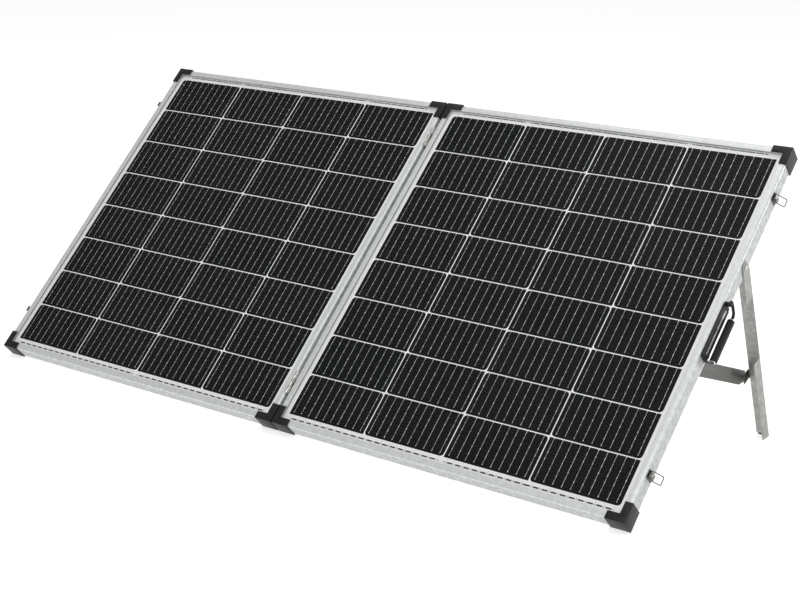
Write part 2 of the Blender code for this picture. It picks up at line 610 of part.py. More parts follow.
def make_latch(name, height, right_panel, left_panel):
    """A draw latch on the right frame's side and its keeper on the left one's."""
    place = Vector((OUTER_X, height, -LATCH_DEPTH))
    half = LATCH_WIDTH / 2
    base = box((FIT, -half, -LATCH_PLATE_BACK), (FIT + LATCH_PLATE, half, LATCH_PLATE_FRONT))
    ear_inner = LEVER_WIDTH / 2 + FIT
    for sign in (-1, 1):
        ear = arc((LATCH_AXIS_OUT, 0), LEVER_HUB, -90, 90) + [(FIT + LATCH_PLATE / 2, LEVER_HUB)]
        ear.append((FIT + LATCH_PLATE / 2, -LEVER_HUB))
        middle = sign * (ear_inner + LATCH_PLATE / 2)
        solid = prism(ear, LATCH_PLATE, frame_matrix((1, 0, 0), (0, 0, 1), (0, middle, 0)))
        base = joined(base, solid, "UNION")
    reach = ear_inner + LATCH_PLATE / 2
    pin = turned([(-reach, 0), (-reach, LATCH_PIN_RADIUS), (reach, LATCH_PIN_RADIUS), (reach, 0)], "Y")
    pin.transform(Matrix.Translation((LATCH_AXIS_OUT, 0, 0)))
    part(f"{name}_latch_base", joined(base, pin, "UNION"), STEEL, right_panel, place)

    lever_axis = empty(f"{name}_latch_lever_axis", right_panel, place + Vector((LATCH_AXIS_OUT, 0, 0)))
    lever_outline = [
        (-LEVER_HUB, 0), (-LEVER_CORNER, LEVER_CORNER), (0, LEVER_HUB), (LEVER_CORNER, LEVER_CORNER),
        (LEVER_HUB, 0), (LEVER_HUB, -BAIL_OFFSET - LEVER_SHOULDER),
        (LEVER_TAB_FRONT, -BAIL_OFFSET - LEVER_NECK), (LEVER_TIP, -LEVER_LENGTH),
        (LEVER_TIP - LEVER_TAB, -LEVER_LENGTH), (LEVER_TAB_FRONT - LEVER_CORNER, -BAIL_OFFSET - LEVER_NECK),
        (-LEVER_TIP, -BAIL_OFFSET - LEVER_CORNER), (-LEVER_HUB, -BAIL_OFFSET),
    ]
    lever = prism(lever_outline, LEVER_WIDTH, frame_matrix((1, 0, 0), (0, 0, 1)))
    for place_z, radius in ((0, LATCH_PIN_RADIUS), (-BAIL_OFFSET, BAIL_WIRE_RADIUS)):
        hole = radius + RUNNING
        drill = turned([(-half, 0), (-half, hole), (half, hole), (half, 0)], "Y")
        drill.transform(Matrix.Translation((0, 0, place_z)))
        lever = joined(lever, drill)
    part(f"{name}_latch_lever", lever, STEEL, lever_axis)

    bail_axis = empty(f"{name}_latch_bail_axis", lever_axis, (0, 0, -BAIL_OFFSET))
    bail_axis.rotation_euler.y = BAIL_DROOP
    inside = LEVER_WIDTH / 2 - BAIL_END
    wide, reach = BAIL_HALF_WIDTH, BAIL_REACH
    bend = BAIL_BEND
    half_path = [
        (0, inside, 0), (0, wide - bend, 0), (bend, wide, 0),
        (reach - bend, wide, 0), (reach, wide - bend, 0),
    ]
    path = half_path + [(x, -y, z) for x, y, z in reversed(half_path)]
    part(f"{name}_latch_bail", rod(path, BAIL_WIRE_RADIUS), STEEL, bail_axis, smooth=True)

    wire_folded = 2 * HINGE_RISE + LATCH_DEPTH + BAIL_OFFSET - BAIL_REACH
    lip = wire_folded + BAIL_WIRE_RADIUS + FIT
    top = LATCH_AXIS_OUT + BAIL_WIRE_RADIUS
    keeper_outline = [
        (-FIT, lip - KEEPER_LENGTH), (-FIT, lip + KEEPER_WALL), (-top, lip + KEEPER_WALL), (-top, lip),
        (-FIT - KEEPER_WALL, lip), (-FIT - KEEPER_WALL, lip - KEEPER_LENGTH),
    ]
    keeper = prism(keeper_outline, KEEPER_WIDTH, frame_matrix((1, 0, 0), (0, 0, 1)))
    part(f"{name}_latch_keeper", keeper, STEEL, left_panel, (-OUTER_X, height, -HINGE_RISE))


def make_handle(right_panel):
    """The carrying handle: a slotted base plate, a bent rod that swings in its ears, and a grip."""
    place = Vector((OUTER_X, HANDLE_HEIGHT, 0))
    half = HANDLE_BASE_LENGTH / 2
    front = -HANDLE_BASE_FRONT
    plate = FIT + HANDLE_BASE_PLATE
    base = box((FIT, -half, front - HANDLE_BASE_WIDTH), (plate, half, front))
    slot = box(
        (-half, -HANDLE_SLOT_LENGTH / 2, -HANDLE_SLOT_DEPTH - HANDLE_SLOT_WIDTH / 2),
        (half, HANDLE_SLOT_LENGTH / 2, -HANDLE_SLOT_DEPTH + HANDLE_SLOT_WIDTH / 2),
    )
    base = joined(base, slot)
    axis_z = -HANDLE_AXIS_DEPTH
    for sign in (-1, 1):
        ear = arc((HANDLE_AXIS_OUT, axis_z), HANDLE_EAR_RADIUS, -90, 90)
        ear += [(FIT + 1 * MM, axis_z + HANDLE_EAR_RADIUS), (FIT + 1 * MM, axis_z - HANDLE_EAR_RADIUS)]
        middle = sign * (half - HANDLE_EAR_LENGTH / 2)
        solid = prism(ear, HANDLE_EAR_LENGTH, frame_matrix((1, 0, 0), (0, 0, 1), (0, middle, 0)))
        base = joined(base, solid, "UNION")
    hole = HANDLE_ROD_RADIUS + RUNNING
    drill = turned([(-2 * half, 0), (-2 * half, hole), (2 * half, hole), (2 * half, 0)], "Y")
    drill.transform(Matrix.Translation((HANDLE_AXIS_OUT, 0, axis_z)))
    part("handle_base", joined(base, drill), BLACK_PLASTIC, right_panel, place)

    swing = empty("handle_axis", right_panel, place + Vector((HANDLE_AXIS_OUT, 0, axis_z)))
    wide = half + HANDLE_ROD_RADIUS + ROD_CLEARANCE
    narrow = GRIP_LENGTH / 2 + GRIP_TO_ARM
    half_path = [
        (0, half - HANDLE_EAR_LENGTH - ROD_END, 0), (0, half + ROD_STUB, 0),
        (0, wide, -ROD_CORNER), (0, wide, -ROD_ARM),
        (0, narrow + ROD_BEND, ROD_BEND - HANDLE_REACH), (0, narrow, -HANDLE_REACH),
    ]
    path = half_path + [(x, -y, z) for x, y, z in reversed(half_path)]
    part("handle_bail", rod(path, HANDLE_ROD_RADIUS), BLACK_STEEL, swing, smooth=True)

    end = GRIP_LENGTH / 2
    grip = turned([
        (-end, 0), (-end, GRIP_RADIUS - GRIP_CHAMFER), (GRIP_CHAMFER - end, GRIP_RADIUS),
        (end - GRIP_CHAMFER, GRIP_RADIUS), (end, GRIP_RADIUS - GRIP_CHAMFER), (end, 0),
    ], "Y")
    drill = turned([(-2 * end, 0), (-2 * end, hole), (2 * end, hole), (2 * end, 0)], "Y")
    grip = joined(grip, drill)
    part("handle_grip", grip, RUBBER, swing, (0, 0, -HANDLE_REACH), smooth=True)


def centre_on_origin(deck):
    """Moves the whole kit so that the origin is under the middle of its box."""
    bpy.context.view_layer.update()
    corners = [made.matrix_world @ vertex.co for made in parts.objects if made.type == "MESH"
               for vertex in made.data.vertices]
    for axis in (0, 1):
        places = [corner[axis] for corner in corners]
        deck.location[axis] -= (min(places) + max(places)) / 2


def main():
    deck = empty("deck", None, (0, 0, HEEL_HEIGHT), DECK_TILT)
    leg_place = Vector((OUTER_X, LEG_PIVOT_HEIGHT, -LEG_PIVOT_DEPTH))
    brace_place = Vector((OUTER_X, BRACE_PIVOT_HEIGHT, -BRACE_PIVOT_DEPTH))
    right_leg = empty("right_leg_axis", deck, leg_place, LEG_OPEN)
    right_brace = empty("right_brace_axis", deck, brace_place, -BRACE_OPEN)

    fold_line = Vector((0, 0, HINGE_RISE))
    left_panel = empty("fold_axis", deck, fold_line)
    flip = Matrix.Diagonal((-1, 1, 1))
    left_leg = empty("left_leg_axis", left_panel, flip @ leg_place - fold_line, LEG_OPEN)
    left_brace = empty("left_brace_axis", left_panel, flip @ brace_place - fold_line, -BRACE_OPEN)

    pieces = make_frame(deck) + make_laminate(deck) + make_caps(deck) + make_junction_box(deck)
    pieces += make_leg(right_leg, deck) + make_brace(right_brace, deck)
    for piece in pieces:
        if piece.parent == right_leg:
            mirrored(piece, left_leg)
        elif piece.parent == right_brace:
            mirrored(piece, left_brace)
        else:
            mirrored(piece, left_panel, fold_line)

    make_hinges(deck, left_panel)
    for name, height in LATCH_HEIGHTS.items():
        make_latch(name, height, deck, left_panel)
    make_handle(deck)
    centre_on_origin(deck)


main()
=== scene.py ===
"""Looks for the folding solar suitcase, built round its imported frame.

Most pieces are drawn in the deck's own axes: x along the width from the fold line, y up the panels' slope
and z out of the glass, with z = 0 on the front of the aluminium frames. Legs, braces, latches and the
handle are drawn in their own axes, with the joint at the origin.
"""
import json
import random
from math import cos, pi, radians, sin, tan

import bmesh
import bpy
from mathutils import Matrix, Vector

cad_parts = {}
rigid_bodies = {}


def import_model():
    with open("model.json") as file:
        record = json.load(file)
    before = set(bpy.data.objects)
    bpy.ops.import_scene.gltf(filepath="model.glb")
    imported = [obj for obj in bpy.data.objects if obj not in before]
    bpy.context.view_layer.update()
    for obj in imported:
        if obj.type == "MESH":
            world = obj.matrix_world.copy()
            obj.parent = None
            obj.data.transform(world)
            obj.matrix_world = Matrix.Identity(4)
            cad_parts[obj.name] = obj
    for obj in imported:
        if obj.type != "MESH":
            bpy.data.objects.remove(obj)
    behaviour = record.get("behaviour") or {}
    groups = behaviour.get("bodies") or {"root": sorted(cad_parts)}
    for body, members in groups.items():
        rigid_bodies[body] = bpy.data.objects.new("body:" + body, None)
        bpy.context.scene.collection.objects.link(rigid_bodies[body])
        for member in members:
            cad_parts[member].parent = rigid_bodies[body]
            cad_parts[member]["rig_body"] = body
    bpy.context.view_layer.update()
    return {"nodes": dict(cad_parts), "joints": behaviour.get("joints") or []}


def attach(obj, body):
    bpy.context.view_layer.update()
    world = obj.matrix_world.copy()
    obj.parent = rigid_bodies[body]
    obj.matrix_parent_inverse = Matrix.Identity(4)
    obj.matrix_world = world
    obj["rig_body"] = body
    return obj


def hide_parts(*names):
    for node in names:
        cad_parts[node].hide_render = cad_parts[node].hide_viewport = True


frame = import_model()

MM = 0.001
SIDES = {"right": 1, "left": -1}
LATCHES = ("lower", "upper")
HINGE_RISE = 2.5 * MM           # fold line in front of the frames

# Front of the panels
CELL_COLUMNS = 4
CELL_ROWS = 8
COLUMN_PITCH = 184 * MM
ROW_PITCH = 93.63 * MM
CELL_WIDTH = 181.8 * MM
CELL_HEIGHT = 91.4 * MM
CELL_CORNER = 8.5 * MM
CELLS_FROM_BOTTOM = 27 * MM
WIRES = 10
WIRE_SPACING = CELL_WIDTH / WIRES
WIRE_WIDTH = 0.55 * MM
WIRE_STOP = 5 * MM              # bare strip at each cell's lower edge
PADS = 7
PAD_LENGTH = 2.6 * MM
PAD_WIDTH = 1.3 * MM
STUB_WIDTH = 0.9 * MM
RIBBON_RUNS = (                 # first and last column, middle up the slope, width, gap at each wire
    (0.05, 1.97, 19.4 * MM, 2.9 * MM, 6.6 * MM), (2.03, 3.95, 19.4 * MM, 2.9 * MM, 6.6 * MM),
    (0.12, 0.97, 783.4 * MM, 1.9 * MM, 3.2 * MM), (1.03, 2.97, 783.4 * MM, 1.9 * MM, 3.2 * MM),
    (3.03, 3.88, 783.4 * MM, 1.9 * MM, 3.2 * MM),
)
TICK_WIDTH = 1.1 * MM
CELL_LIFT = 0.06 * MM
RIBBON_LIFT = 0.1 * MM
WIRE_LIFT = 0.16 * MM
FINGER_PITCH = 1.25 * MM
FINGER_SHARE = 0.09

# Frame extrusion
LIP_WIDTH = 13.5 * MM
FRAME_WALL = 1.8 * MM
GLASS_SLOT = 6 * MM
REAR_FLANGE = 25 * MM
LIP_ROUND = (6.5 * MM, 3 * MM)  # across the lip and down the side
LIP_EDGE = 0.6 * MM
LEDGE_EDGE = 0.4 * MM
REAR_EDGE = 1.2 * MM
FLANGE_FILLET = 0.8 * MM
FLUTES = 5
FIRST_FLUTE = 5.6 * MM          # behind the frame's front
FLUTE_PITCH = 5.1 * MM
FLUTE_DEPTH = 1.2 * MM
FLUTE_HALF = 1.15 * MM

# Junction boxes
LID_SCREW = 2.6 * MM
LID_SCREW_INSET = 7 * MM
LID_RIBS = (0.3, 0.4, 0.5, 0.6, 0.7)    # shares of the lid's height
RIB_INSET = 17.5 * MM
RIB_HALF_WIDTH = 1.1 * MM
RIB_THICKNESS = 1.6 * MM
RIB_CORNER = 1 * MM
GLAND_THREAD = ((0, 0), (0, 0.6), (0.35, 0.6), (0.35, 0))   # shares of the gland's reach and radius
GLAND_COLLAR = ((0.33, 0), (0.33, 1), (0.5, 1), (0.54, 0.92), (0.54, 0))
GLAND_DOME = ((0.54, 0), (0.54, 0.86), (0.8, 0.84), (0.94, 0.72), (1, 0.56), (1, 0.36), (0.7, 0.34), (0.7, 0))

# Hinges
INNER_SIDE = 3.2 * MM           # each leaf's back, from the fold line
LEAF_THICKNESS = 1.5 * MM
LEAF_SCREW = 1.9 * MM
LEAF_SCREWS = ((-18 * MM, -8 * MM), (-6 * MM, -19 * MM), (6 * MM, -8 * MM), (18 * MM, -19 * MM))

# Latches
LATCH_PLATE = 1.2 * MM
LATCH_CORNER = 2.4 * MM
LATCH_RIVET = 1.4 * MM
LATCH_RIVET_SPREAD = 5.6 * MM
LATCH_RIVET_RISE = 2.2 * MM
RIVET_DOME = 0.7 * MM
LEVER_EAR = 2.6 * MM
LEVER_EAR_GAP = 0.3 * MM
EAR_ROUNDING = 0.95             # corner radius as a share of half the ear's height
PIN_END = 1.5 * MM
PIN_END_DOME = 0.5 * MM
LEVER_RIVET = 1.7 * MM
LEVER_RIVET_DOME = 0.8 * MM
LEVER_RIVET_DROP = 3 * MM
BAIL_WIRE = 0.9 * MM
BAIL_OFFSET = 4 * MM
BAIL_DROOP = radians(40)
BAIL_HALF_WIDTH = 8.4 * MM
BAIL_REACH = 21 * MM
BAIL_TUCK = 2 * MM              # how far each end runs inside the lever
BAIL_BEND = 3.2 * MM
KEEPER_RIVET = 1.5 * MM
KEEPER_RIVET_SPREAD = 3.2 * MM
KEEPER_RIVET_RISE = 3 * MM
KEEPER_PLATE = 1.3 * MM

# Handle
HANDLE_PLATE = 2.5 * MM
HANDLE_CORNER = 5 * MM
HANDLE_ROUND = 0.6 * MM
SLOT_LENGTH = 98 * MM
SLOT_WIDTH = 7 * MM
SLOT_CORNER = 3.2 * MM
SLOT_DEPTH = 17.7 * MM          # the slot's middle, behind the base's front edge
STRAP_GAP = 0.4 * MM
STRAP_CORNER = 2.8 * MM
STRAP_THICKNESS = 2.2 * MM
EAR_RADIUS = 4.6 * MM
EAR_LENGTH = 5 * MM
EAR_SINK = 1 * MM
GUSSET_REACH = 5 * MM
GUSSET_THICKNESS = 2 * MM
GUSSET_CORNER = 1 * MM
HANDLE_SCREW = 2.3 * MM
HANDLE_SCREW_INSET = 5 * MM
HANDLE_SCREW_RISE = 4.2 * MM
HANDLE_ROD = 2.9 * MM
ROD_END_GAP = 0.5 * MM
ROD_SIDE_GAP = 1.2 * MM
ROD_LEAD = 0.4 * MM
ROD_DROP = 7 * MM
ROD_NARROWING = 9 * MM          # where the arms reach the grip's line, past its end
ROD_TUCK = 10 * MM
ROD_BEND = 6 * MM
GRIP_RADIUS = 7.3 * MM
GRIP_BORE = 3.1 * MM
GRIP_ROUND = (1.4 * MM, 1.6 * MM)       # along the grip and across it
GRIP_GROOVE = ((3.4 * MM, 0), (3.9 * MM, 0.5 * MM), (4.7 * MM, 0.5 * MM), (5.2 * MM, 0.1 * MM))
SLEEVE_DROP = 4 * MM            # the grip slides down its rod
RING_RADIUS = 5.2 * MM
RING_SIDES = (0.1 * MM, 1.9 * MM)       # past the grip's end
RING_CHAMFER = 0.4 * MM

# Leg bolts
BOLT_HEAD = 5 * MM
BOLT_RISE = 2.2 * MM
BOLT_SOCKETED_HEAD = (          # shares of the head's rise and radius
    (-1, 0), (-1, 1), (-0.7, 1), (-0.35, 0.86), (-0.08, 0.6), (0, 0.4), (-0.05, 0.34), (-0.5, 0.3), (-0.5, 0),
)
BOLT_SHANK = 3 * MM
BOLT_REACH = 9 * MM
NUT_SEAT = 4 * MM
NUT_HEIGHT = 3 * MM

# Heads, bends and edges
HEAD_SINK = 0.2 * MM            # how far a head runs into its plate
EDGE_STEPS = 3
ROUND_STEPS = 5
BEND_STEPS = 8
SHARP_EDGE = radians(25)
MOULDED_EDGE = 0.9 * MM
THIN_MOULDED_EDGE = 0.8 * MM
ANGLE_EDGE = 0.4 * MM
STRUT_EDGE = 0.35 * MM
PLATE_EDGE = 0.3 * MM
LEAF_EDGE = 0.25 * MM
THIN_EDGE = 0.2 * MM

# Stage
CAMERA_PLACE = (1.9692, -2.5371, 1.1823)
CAMERA_AIM = (-0.5715, 0.7665, -0.2924)
CAMERA_LENS = 73.35
CAMERA_SENSOR = 36
WORLD_STRENGTH = 0.45
FLOOR_HALF = 25                 # metres
FLOOR_DROP = 0.5 * MM
FLOOR_COLOUR = 0.6
FLOOR_GLOW = 0.66
LIGHTS = (                      # name, place, size, power
    ("key_light", (0.9, -2.4, 3.0), 1.6, 40),
    ("top_light", (-0.5, 0.8, 5.0), 4.0, 70),
    ("side_light", (3.0, 2.3, 0.9), 1.2, 32),
    ("edge_light", (3.2, 0.1, 2.5), 0.8, 10),
)

joints = {joint["name"]: joint for joint in frame["joints"]}


# ---------------------------------------------------------------- axes and places

def axes_matrix(across, along, origin=(0, 0, 0)):
    """Axes from their first two directions, with the third square to both."""
    across, along = Vector(across).normalized(), Vector(along).normalized()
    return Matrix.Translation(origin) @ Matrix((across, along, across.cross(along))).transposed().to_4x4()


fold = joints["fold_hinge"]
UP_SLOPE = Vector(fold["axis"]).normalized()
OUT = Vector((1, 0, 0)).cross(UP_SLOPE)
DECK = axes_matrix((1, 0, 0), UP_SLOPE, Vector(fold["pos_m"]) - HINGE_RISE * OUT)
FLAT_XY = Matrix.Identity(4)
FLAT_YZ = axes_matrix((0, 1, 0), (0, 0, 1))     # stands a flat outline square to x
FLAT_XZ = axes_matrix((1, 0, 0), (0, 0, 1))     # stands it square to y


def extent(node, axes=DECK):
    """A CAD node's lowest and highest corners, measured in the given axes."""
    back = axes.inverted()
    corners = [back @ vertex.co for vertex in frame["nodes"][node].data.vertices]
    low = Vector([min(corner[i] for corner in corners) for i in range(3)])
    high = Vector([max(corner[i] for corner in corners) for i in range(3)])
    return low, high


def at_joint(joint, turn=0.0):
    """The deck's axes moved to a joint, and turned there about x."""
    place = DECK.inverted() @ Vector(joints[joint]["pos_m"])
    return DECK @ Matrix.Translation(place) @ Matrix.Rotation(turn, 4, "X")


# ---------------------------------------------------------------- shader maths

class Value:
    """A shader socket that Python's operators extend with Math nodes."""

    def __init__(self, look, socket):
        self.look, self.socket = look, socket

    def math(self, operation, *others, swap=False):
        values = [self, *others]
        if swap:
            values.reverse()
        return self.look.add("ShaderNodeMath", {"operation": operation}, dict(enumerate(values)))

    def __add__(self, other): return self.math("ADD", other)
    def __radd__(self, other): return self.math("ADD", other, swap=True)
    def __sub__(self, other): return self.math("SUBTRACT", other)
    def __rsub__(self, other): return self.math("SUBTRACT", other, swap=True)
    def __mul__(self, other): return self.math("MULTIPLY", other)
    def __rmul__(self, other): return self.math("MULTIPLY", other, swap=True)
    def __truediv__(self, other): return self.math("DIVIDE", other)
    def __rtruediv__(self, other): return self.math("DIVIDE", other, swap=True)
    def __lt__(self, other): return self.math("LESS_THAN", other)
    def __gt__(self, other): return self.math("GREATER_THAN", other)

    def within(self, low, high):
        """0 below the low value, 1 above the high one, and a straight ramp between."""
        inputs = {"Value": self, "From Min": low, "From Max": high}
        return self.look.add("ShaderNodeMapRange", {"clamp": True}, inputs)


class Look:
    """A Principled material whose surface detail is built from nodes."""

    def __init__(self, name, colour, roughness, metallic=0.0, **settings):
        self.material = bpy.data.materials.new(name)
        self.material.use_nodes = True
        self.tree = self.material.node_tree
        self.shader = self.tree.nodes["Principled BSDF"]
        self.shader.inputs["Base Color"].default_value = (*colour, 1)
        self.shader.inputs["Roughness"].default_value = roughness
        self.shader.inputs["Metallic"].default_value = metallic
        for socket, value in settings.items():
            self.shader.inputs[socket.replace("_", " ")].default_value = value

    def add(self, kind, settings=None, inputs=None, output=0):
        """One node with its settings, and the values or links of its sockets."""
        node = self.tree.nodes.new(kind)
        for name, value in (settings or {}).items():
            setattr(node, name, value)
        for name, value in (inputs or {}).items():
            if isinstance(value, Value):
                self.tree.links.new(value.socket, node.inputs[name])
            else:
                node.inputs[name].default_value = value
        return Value(self, node.outputs[output])

    def feed(self, socket, value):
        self.tree.links.new(value.socket, self.shader.inputs[socket])

    def place(self):
        """The point on the piece, in its own axes."""
        return self.add("ShaderNodeTexCoord", output="Object")

    def coordinate(self, axis):
        return self.add("ShaderNodeSeparateXYZ", None, {"Vector": self.place()}, axis)

    def stretched(self, scale):
        """The point with each axis scaled, for grain that runs along a piece."""
        return self.add("ShaderNodeVectorMath", {"operation": "MULTIPLY"}, {0: self.place(), 1: scale})

    def noise(self, scale, vector=None, detail=3.0):
        inputs = {"Vector": vector or self.place(), "Scale": scale, "Detail": detail}
        return self.add("ShaderNodeTexNoise", None, inputs)

    def flute_floor_shade(self):
        """A mask of the floors of a rail's flutes, in the rail's own axes, for painted shade in those
        hollows.
        """
        inwards, out = self.coordinate("Y"), self.coordinate("Z")
        sunk = inwards.within(0.2 * FLUTE_DEPTH, 0.8 * FLUTE_DEPTH)
        outer_skin = inwards < 0.5 * (FLUTE_DEPTH + FRAME_WALL)
        return sunk * outer_skin * (out < -LIP_ROUND[1])

    def worn_and_highlit_edges(self, patch=220):
        """A patchy mask along the piece's outer edges, for wear and painted highlight together."""
        edge = self.add("ShaderNodeNewGeometry", output="Pointiness")
        return edge.within(0.52, 0.6) * self.noise(patch).within(0.42, 0.62)

    def mixed(self, factor, first, second):
        """Two colours mixed by a value."""
        inputs = {"Factor": factor}
        for socket, colour in ((6, first), (7, second)):
            inputs[socket] = colour if isinstance(colour, Value) else (*colour, 1)
        return self.add("ShaderNodeMix", {"data_type": "RGBA"}, inputs, 2)

    def bump(self, height, strength, distance):
        inputs = {"Height": height, "Strength": strength, "Distance": distance}
        self.feed("Normal", self.add("ShaderNodeBump", None, inputs))


def anodised(name, dark, light, roughness, metallic, along, shade_flute_floors=False):
    """Extruded aluminium: fine streaks along the piece and a satin grain, with brighter edges that are partly
    wear from rubbing and partly painted highlight, and painted shade in the flute floors when asked for.
    """
    look = Look(name, light, roughness, metallic)
    scale = [1400, 1400, 1400]
    scale[along] = 6
    streaks = look.noise(1, look.stretched(scale), 4)
    cloud = look.noise(9, detail=2)
    rubbed_and_highlit = tuple(min(1.0, channel * 1.25) for channel in light)
    body = look.mixed(streaks * 0.7 + cloud * 0.3, dark, light)
    # Painted shade: the flute floors darkened to a third of the light colour.
    if shade_flute_floors:
        body = look.mixed(look.flute_floor_shade(), body, tuple(channel * 0.3 for channel in light))
    # Brighter edges: partly wear, partly painted highlight.
    look.feed("Base Color", look.mixed(look.worn_and_highlit_edges(90) * 0.7, body, rubbed_and_highlit))
    look.feed("Roughness", streaks * 0.12 + cloud * 0.06 + (roughness - 0.09))
    look.bump(streaks + look.noise(5000, detail=1) * 0.4, 0.12, 0.05 * MM)
    return look.material


def moulded(name, colour, roughness, grain, depth):
    """Black plastic, paint or rubber with a fine grain, and paler edges that are partly scuffs and partly
    painted highlight.
    """
    look = Look(name, colour, roughness, Specular_IOR_Level=0.25)
    cloud = look.noise(40)
    lighter = tuple(channel * 1.7 + 0.006 for channel in colour)
    scuffed_and_highlit = tuple(channel * 3 + 0.025 for channel in colour)
    body = look.mixed(cloud, colour, lighter)
    # Paler edges: partly scuffs, partly painted highlight.
    look.feed("Base Color", look.mixed(look.worn_and_highlit_edges() * 0.6, body, scuffed_and_highlit))
    look.feed("Roughness", cloud * 0.16 + (roughness - 0.08))
    look.bump(look.noise(grain, detail=2), 0.35, depth)
    return look.material


def plated(name, colour, roughness):
    """Nickel-plated steel with faint brushing, small dull spots, and brighter edges that are partly wear and
    partly painted highlight.
    """
    look = Look(name, colour, roughness, 1.0)
    spots = look.noise(700)
    brushing = look.noise(1, look.stretched((300, 4000, 300)), 2)
    bright = tuple(min(1.0, channel * 1.5) for channel in colour)
    body = look.mixed(spots, tuple(channel * 0.75 for channel in colour), colour)
    # Brighter edges: partly wear, partly painted highlight.
    look.feed("Base Color", look.mixed(look.worn_and_highlit_edges() * 0.3, body, bright))
    look.feed("Roughness", brushing * 0.12 + spots * 0.1 + (roughness - 0.11))
    look.bump(brushing, 0.1, 0.03 * MM)
    return look.material


def cell_look():
    """Near-black silicon under glass: a tint for each cell and fine silver fingers across it."""
    look = Look("monocrystalline_cells", (0.006, 0.007, 0.0075), 0.3, Specular_IOR_Level=0.04)
    tint = look.add("ShaderNodeAttribute", {"attribute_name": "tint"}, output="Fac")
    finger = (look.coordinate("Y") / FINGER_PITCH).math("FRACT") < FINGER_SHARE
    mottled = tint + look.noise(25, detail=2) * 0.3 - 0.15
    body = look.mixed(mottled, (0.0022, 0.0034, 0.0038), (0.0055, 0.0042, 0.0042))
    look.feed("Base Color", look.mixed(finger, body, (0.007, 0.0075, 0.0075)))
    look.feed("Roughness", look.noise(60, detail=2) * 0.15 + 0.25)
    return look.material


def ribbon_look(name, dark, light, roughness):
    """Tinned copper, a little uneven where it was soldered."""
    look = Look(name, light, roughness, 0.1)
    solder = look.noise(160, detail=2).within(0.35, 0.65)
    look.feed("Base Color", look.mixed(solder, dark, light))
    look.feed("Roughness", solder * 0.2 + (roughness - 0.1))
    look.bump(solder, 0.3, 0.05 * MM)
    return look.material


def sheet_look():
    """White film with a faint weave of the encapsulant over it."""
    look = Look("white_film", (0.86, 0.87, 0.87), 0.45)
    cloud = look.noise(30)
    look.feed("Base Color", look.mixed(cloud, (0.80, 0.81, 0.81), (0.90, 0.905, 0.90)))
    look.feed("Roughness", cloud * 0.12 + 0.4)
    look.bump(look.noise(1800, detail=1), 0.1, 0.04 * MM)
    return look.material


def glass_look():
    """Low-iron solar glass: nearly all of what is seen is behind it."""
    look = Look("solar_glass", (0.10, 0.11, 0.11), 0.2, Alpha=0.03)
    look.feed("Roughness", look.noise(300, detail=2) * 0.1 + 0.32)
    return look.material


# The rails carry painted shade in their flute floors.
ANODISED = anodised("anodised_frame", (0.58, 0.60, 0.595), (0.63, 0.65, 0.64), 0.4, 0.4, along=0,
                    shade_flute_floors=True)
MILL = anodised("mill_angle", (0.27, 0.272, 0.258), (0.33, 0.332, 0.316), 0.5, 0.85, along=1)
# The same mill metal as the legs, darkened as painted shade for the panel's shadow over the brace.
SHADED_BRACE_METAL = anodised("brace_metal_painted_shade", (0.105, 0.105, 0.098), (0.15, 0.15, 0.14), 0.5, 0.85, along=1)
CAP_PLASTIC = moulded("corner_plastic", (0.0035, 0.0038, 0.0036), 0.42, 2600, 0.05 * MM)
BOX_PLASTIC = moulded("box_plastic", (0.003, 0.003, 0.0032), 0.45, 1800, 0.06 * MM)
RUBBER = moulded("grip_rubber", (0.0035, 0.0037, 0.0035), 0.42, 1500, 0.08 * MM)
BLACK_ROD = moulded("painted_rod", (0.003, 0.003, 0.003), 0.32, 1200, 0.03 * MM)
NICKEL = plated("nickel_plate", (0.60, 0.595, 0.57), 0.26)
DARK_NICKEL = plated("dark_nickel", (0.13, 0.128, 0.12), 0.36)
BRIGHT_STEEL = plated("bright_steel", (0.85, 0.845, 0.83), 0.3)
LEVER_STEEL = plated("lever_steel", (0.22, 0.22, 0.21), 0.32)
CELLS = cell_look()
WIRE = ribbon_look("cell_wires", (0.45, 0.45, 0.44), (1.0, 1.0, 0.99), 0.4)
RIBBON = ribbon_look("bus_ribbon", (0.006, 0.0062, 0.0062), (0.02, 0.0205, 0.02), 0.42)
FILM = sheet_look()
GLASS = glass_look()


# ---------------------------------------------------------------- mesh making

def piece(name, mesh, look, body, axes=DECK, replaces=(), smooth=30):
    """A new piece in place on its body, standing for the CAD nodes that it replaces."""
    mesh.materials.clear()
    mesh.materials.append(look)
    if smooth:
        mesh.shade_smooth()
        mesh.set_sharp_from_angle(angle=radians(smooth))
    made = bpy.data.objects.new(name, mesh)
    bpy.context.scene.collection.objects.link(made)
    made.matrix_world = axes
    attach(made, body)
    if replaces:
        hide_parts(*replaces)


def mesh_from(shape):
    mesh = bpy.data.meshes.new("shape")
    bmesh.ops.recalc_face_normals(shape, faces=shape.faces)
    shape.to_mesh(mesh)
    shape.free()
    return mesh


def gathered(*meshes):
    """Several closed meshes as one."""
    shape = bmesh.new()
    for mesh in meshes:
        shape.from_mesh(mesh)
    made = bpy.data.meshes.new("gathered")
    shape.to_mesh(made)
    shape.free()
    return made


def moved(mesh, matrix):
    mesh.transform(matrix)
    return mesh


def pointed(mesh, place, towards):
    """A mesh drawn along x, moved to a place and pointed in a direction."""
    turn = Vector((1, 0, 0)).rotation_difference(Vector(towards)).to_matrix().to_4x4()
    return moved(mesh, Matrix.Translation(place) @ turn)


def arc_between(start, corner, end, steps):
    """A smooth bend from start to end that would meet at the corner."""
    shares = [step / steps for step in range(steps + 1)]
    return [start.lerp(corner, share).lerp(corner.lerp(end, share), share) for share in shares]


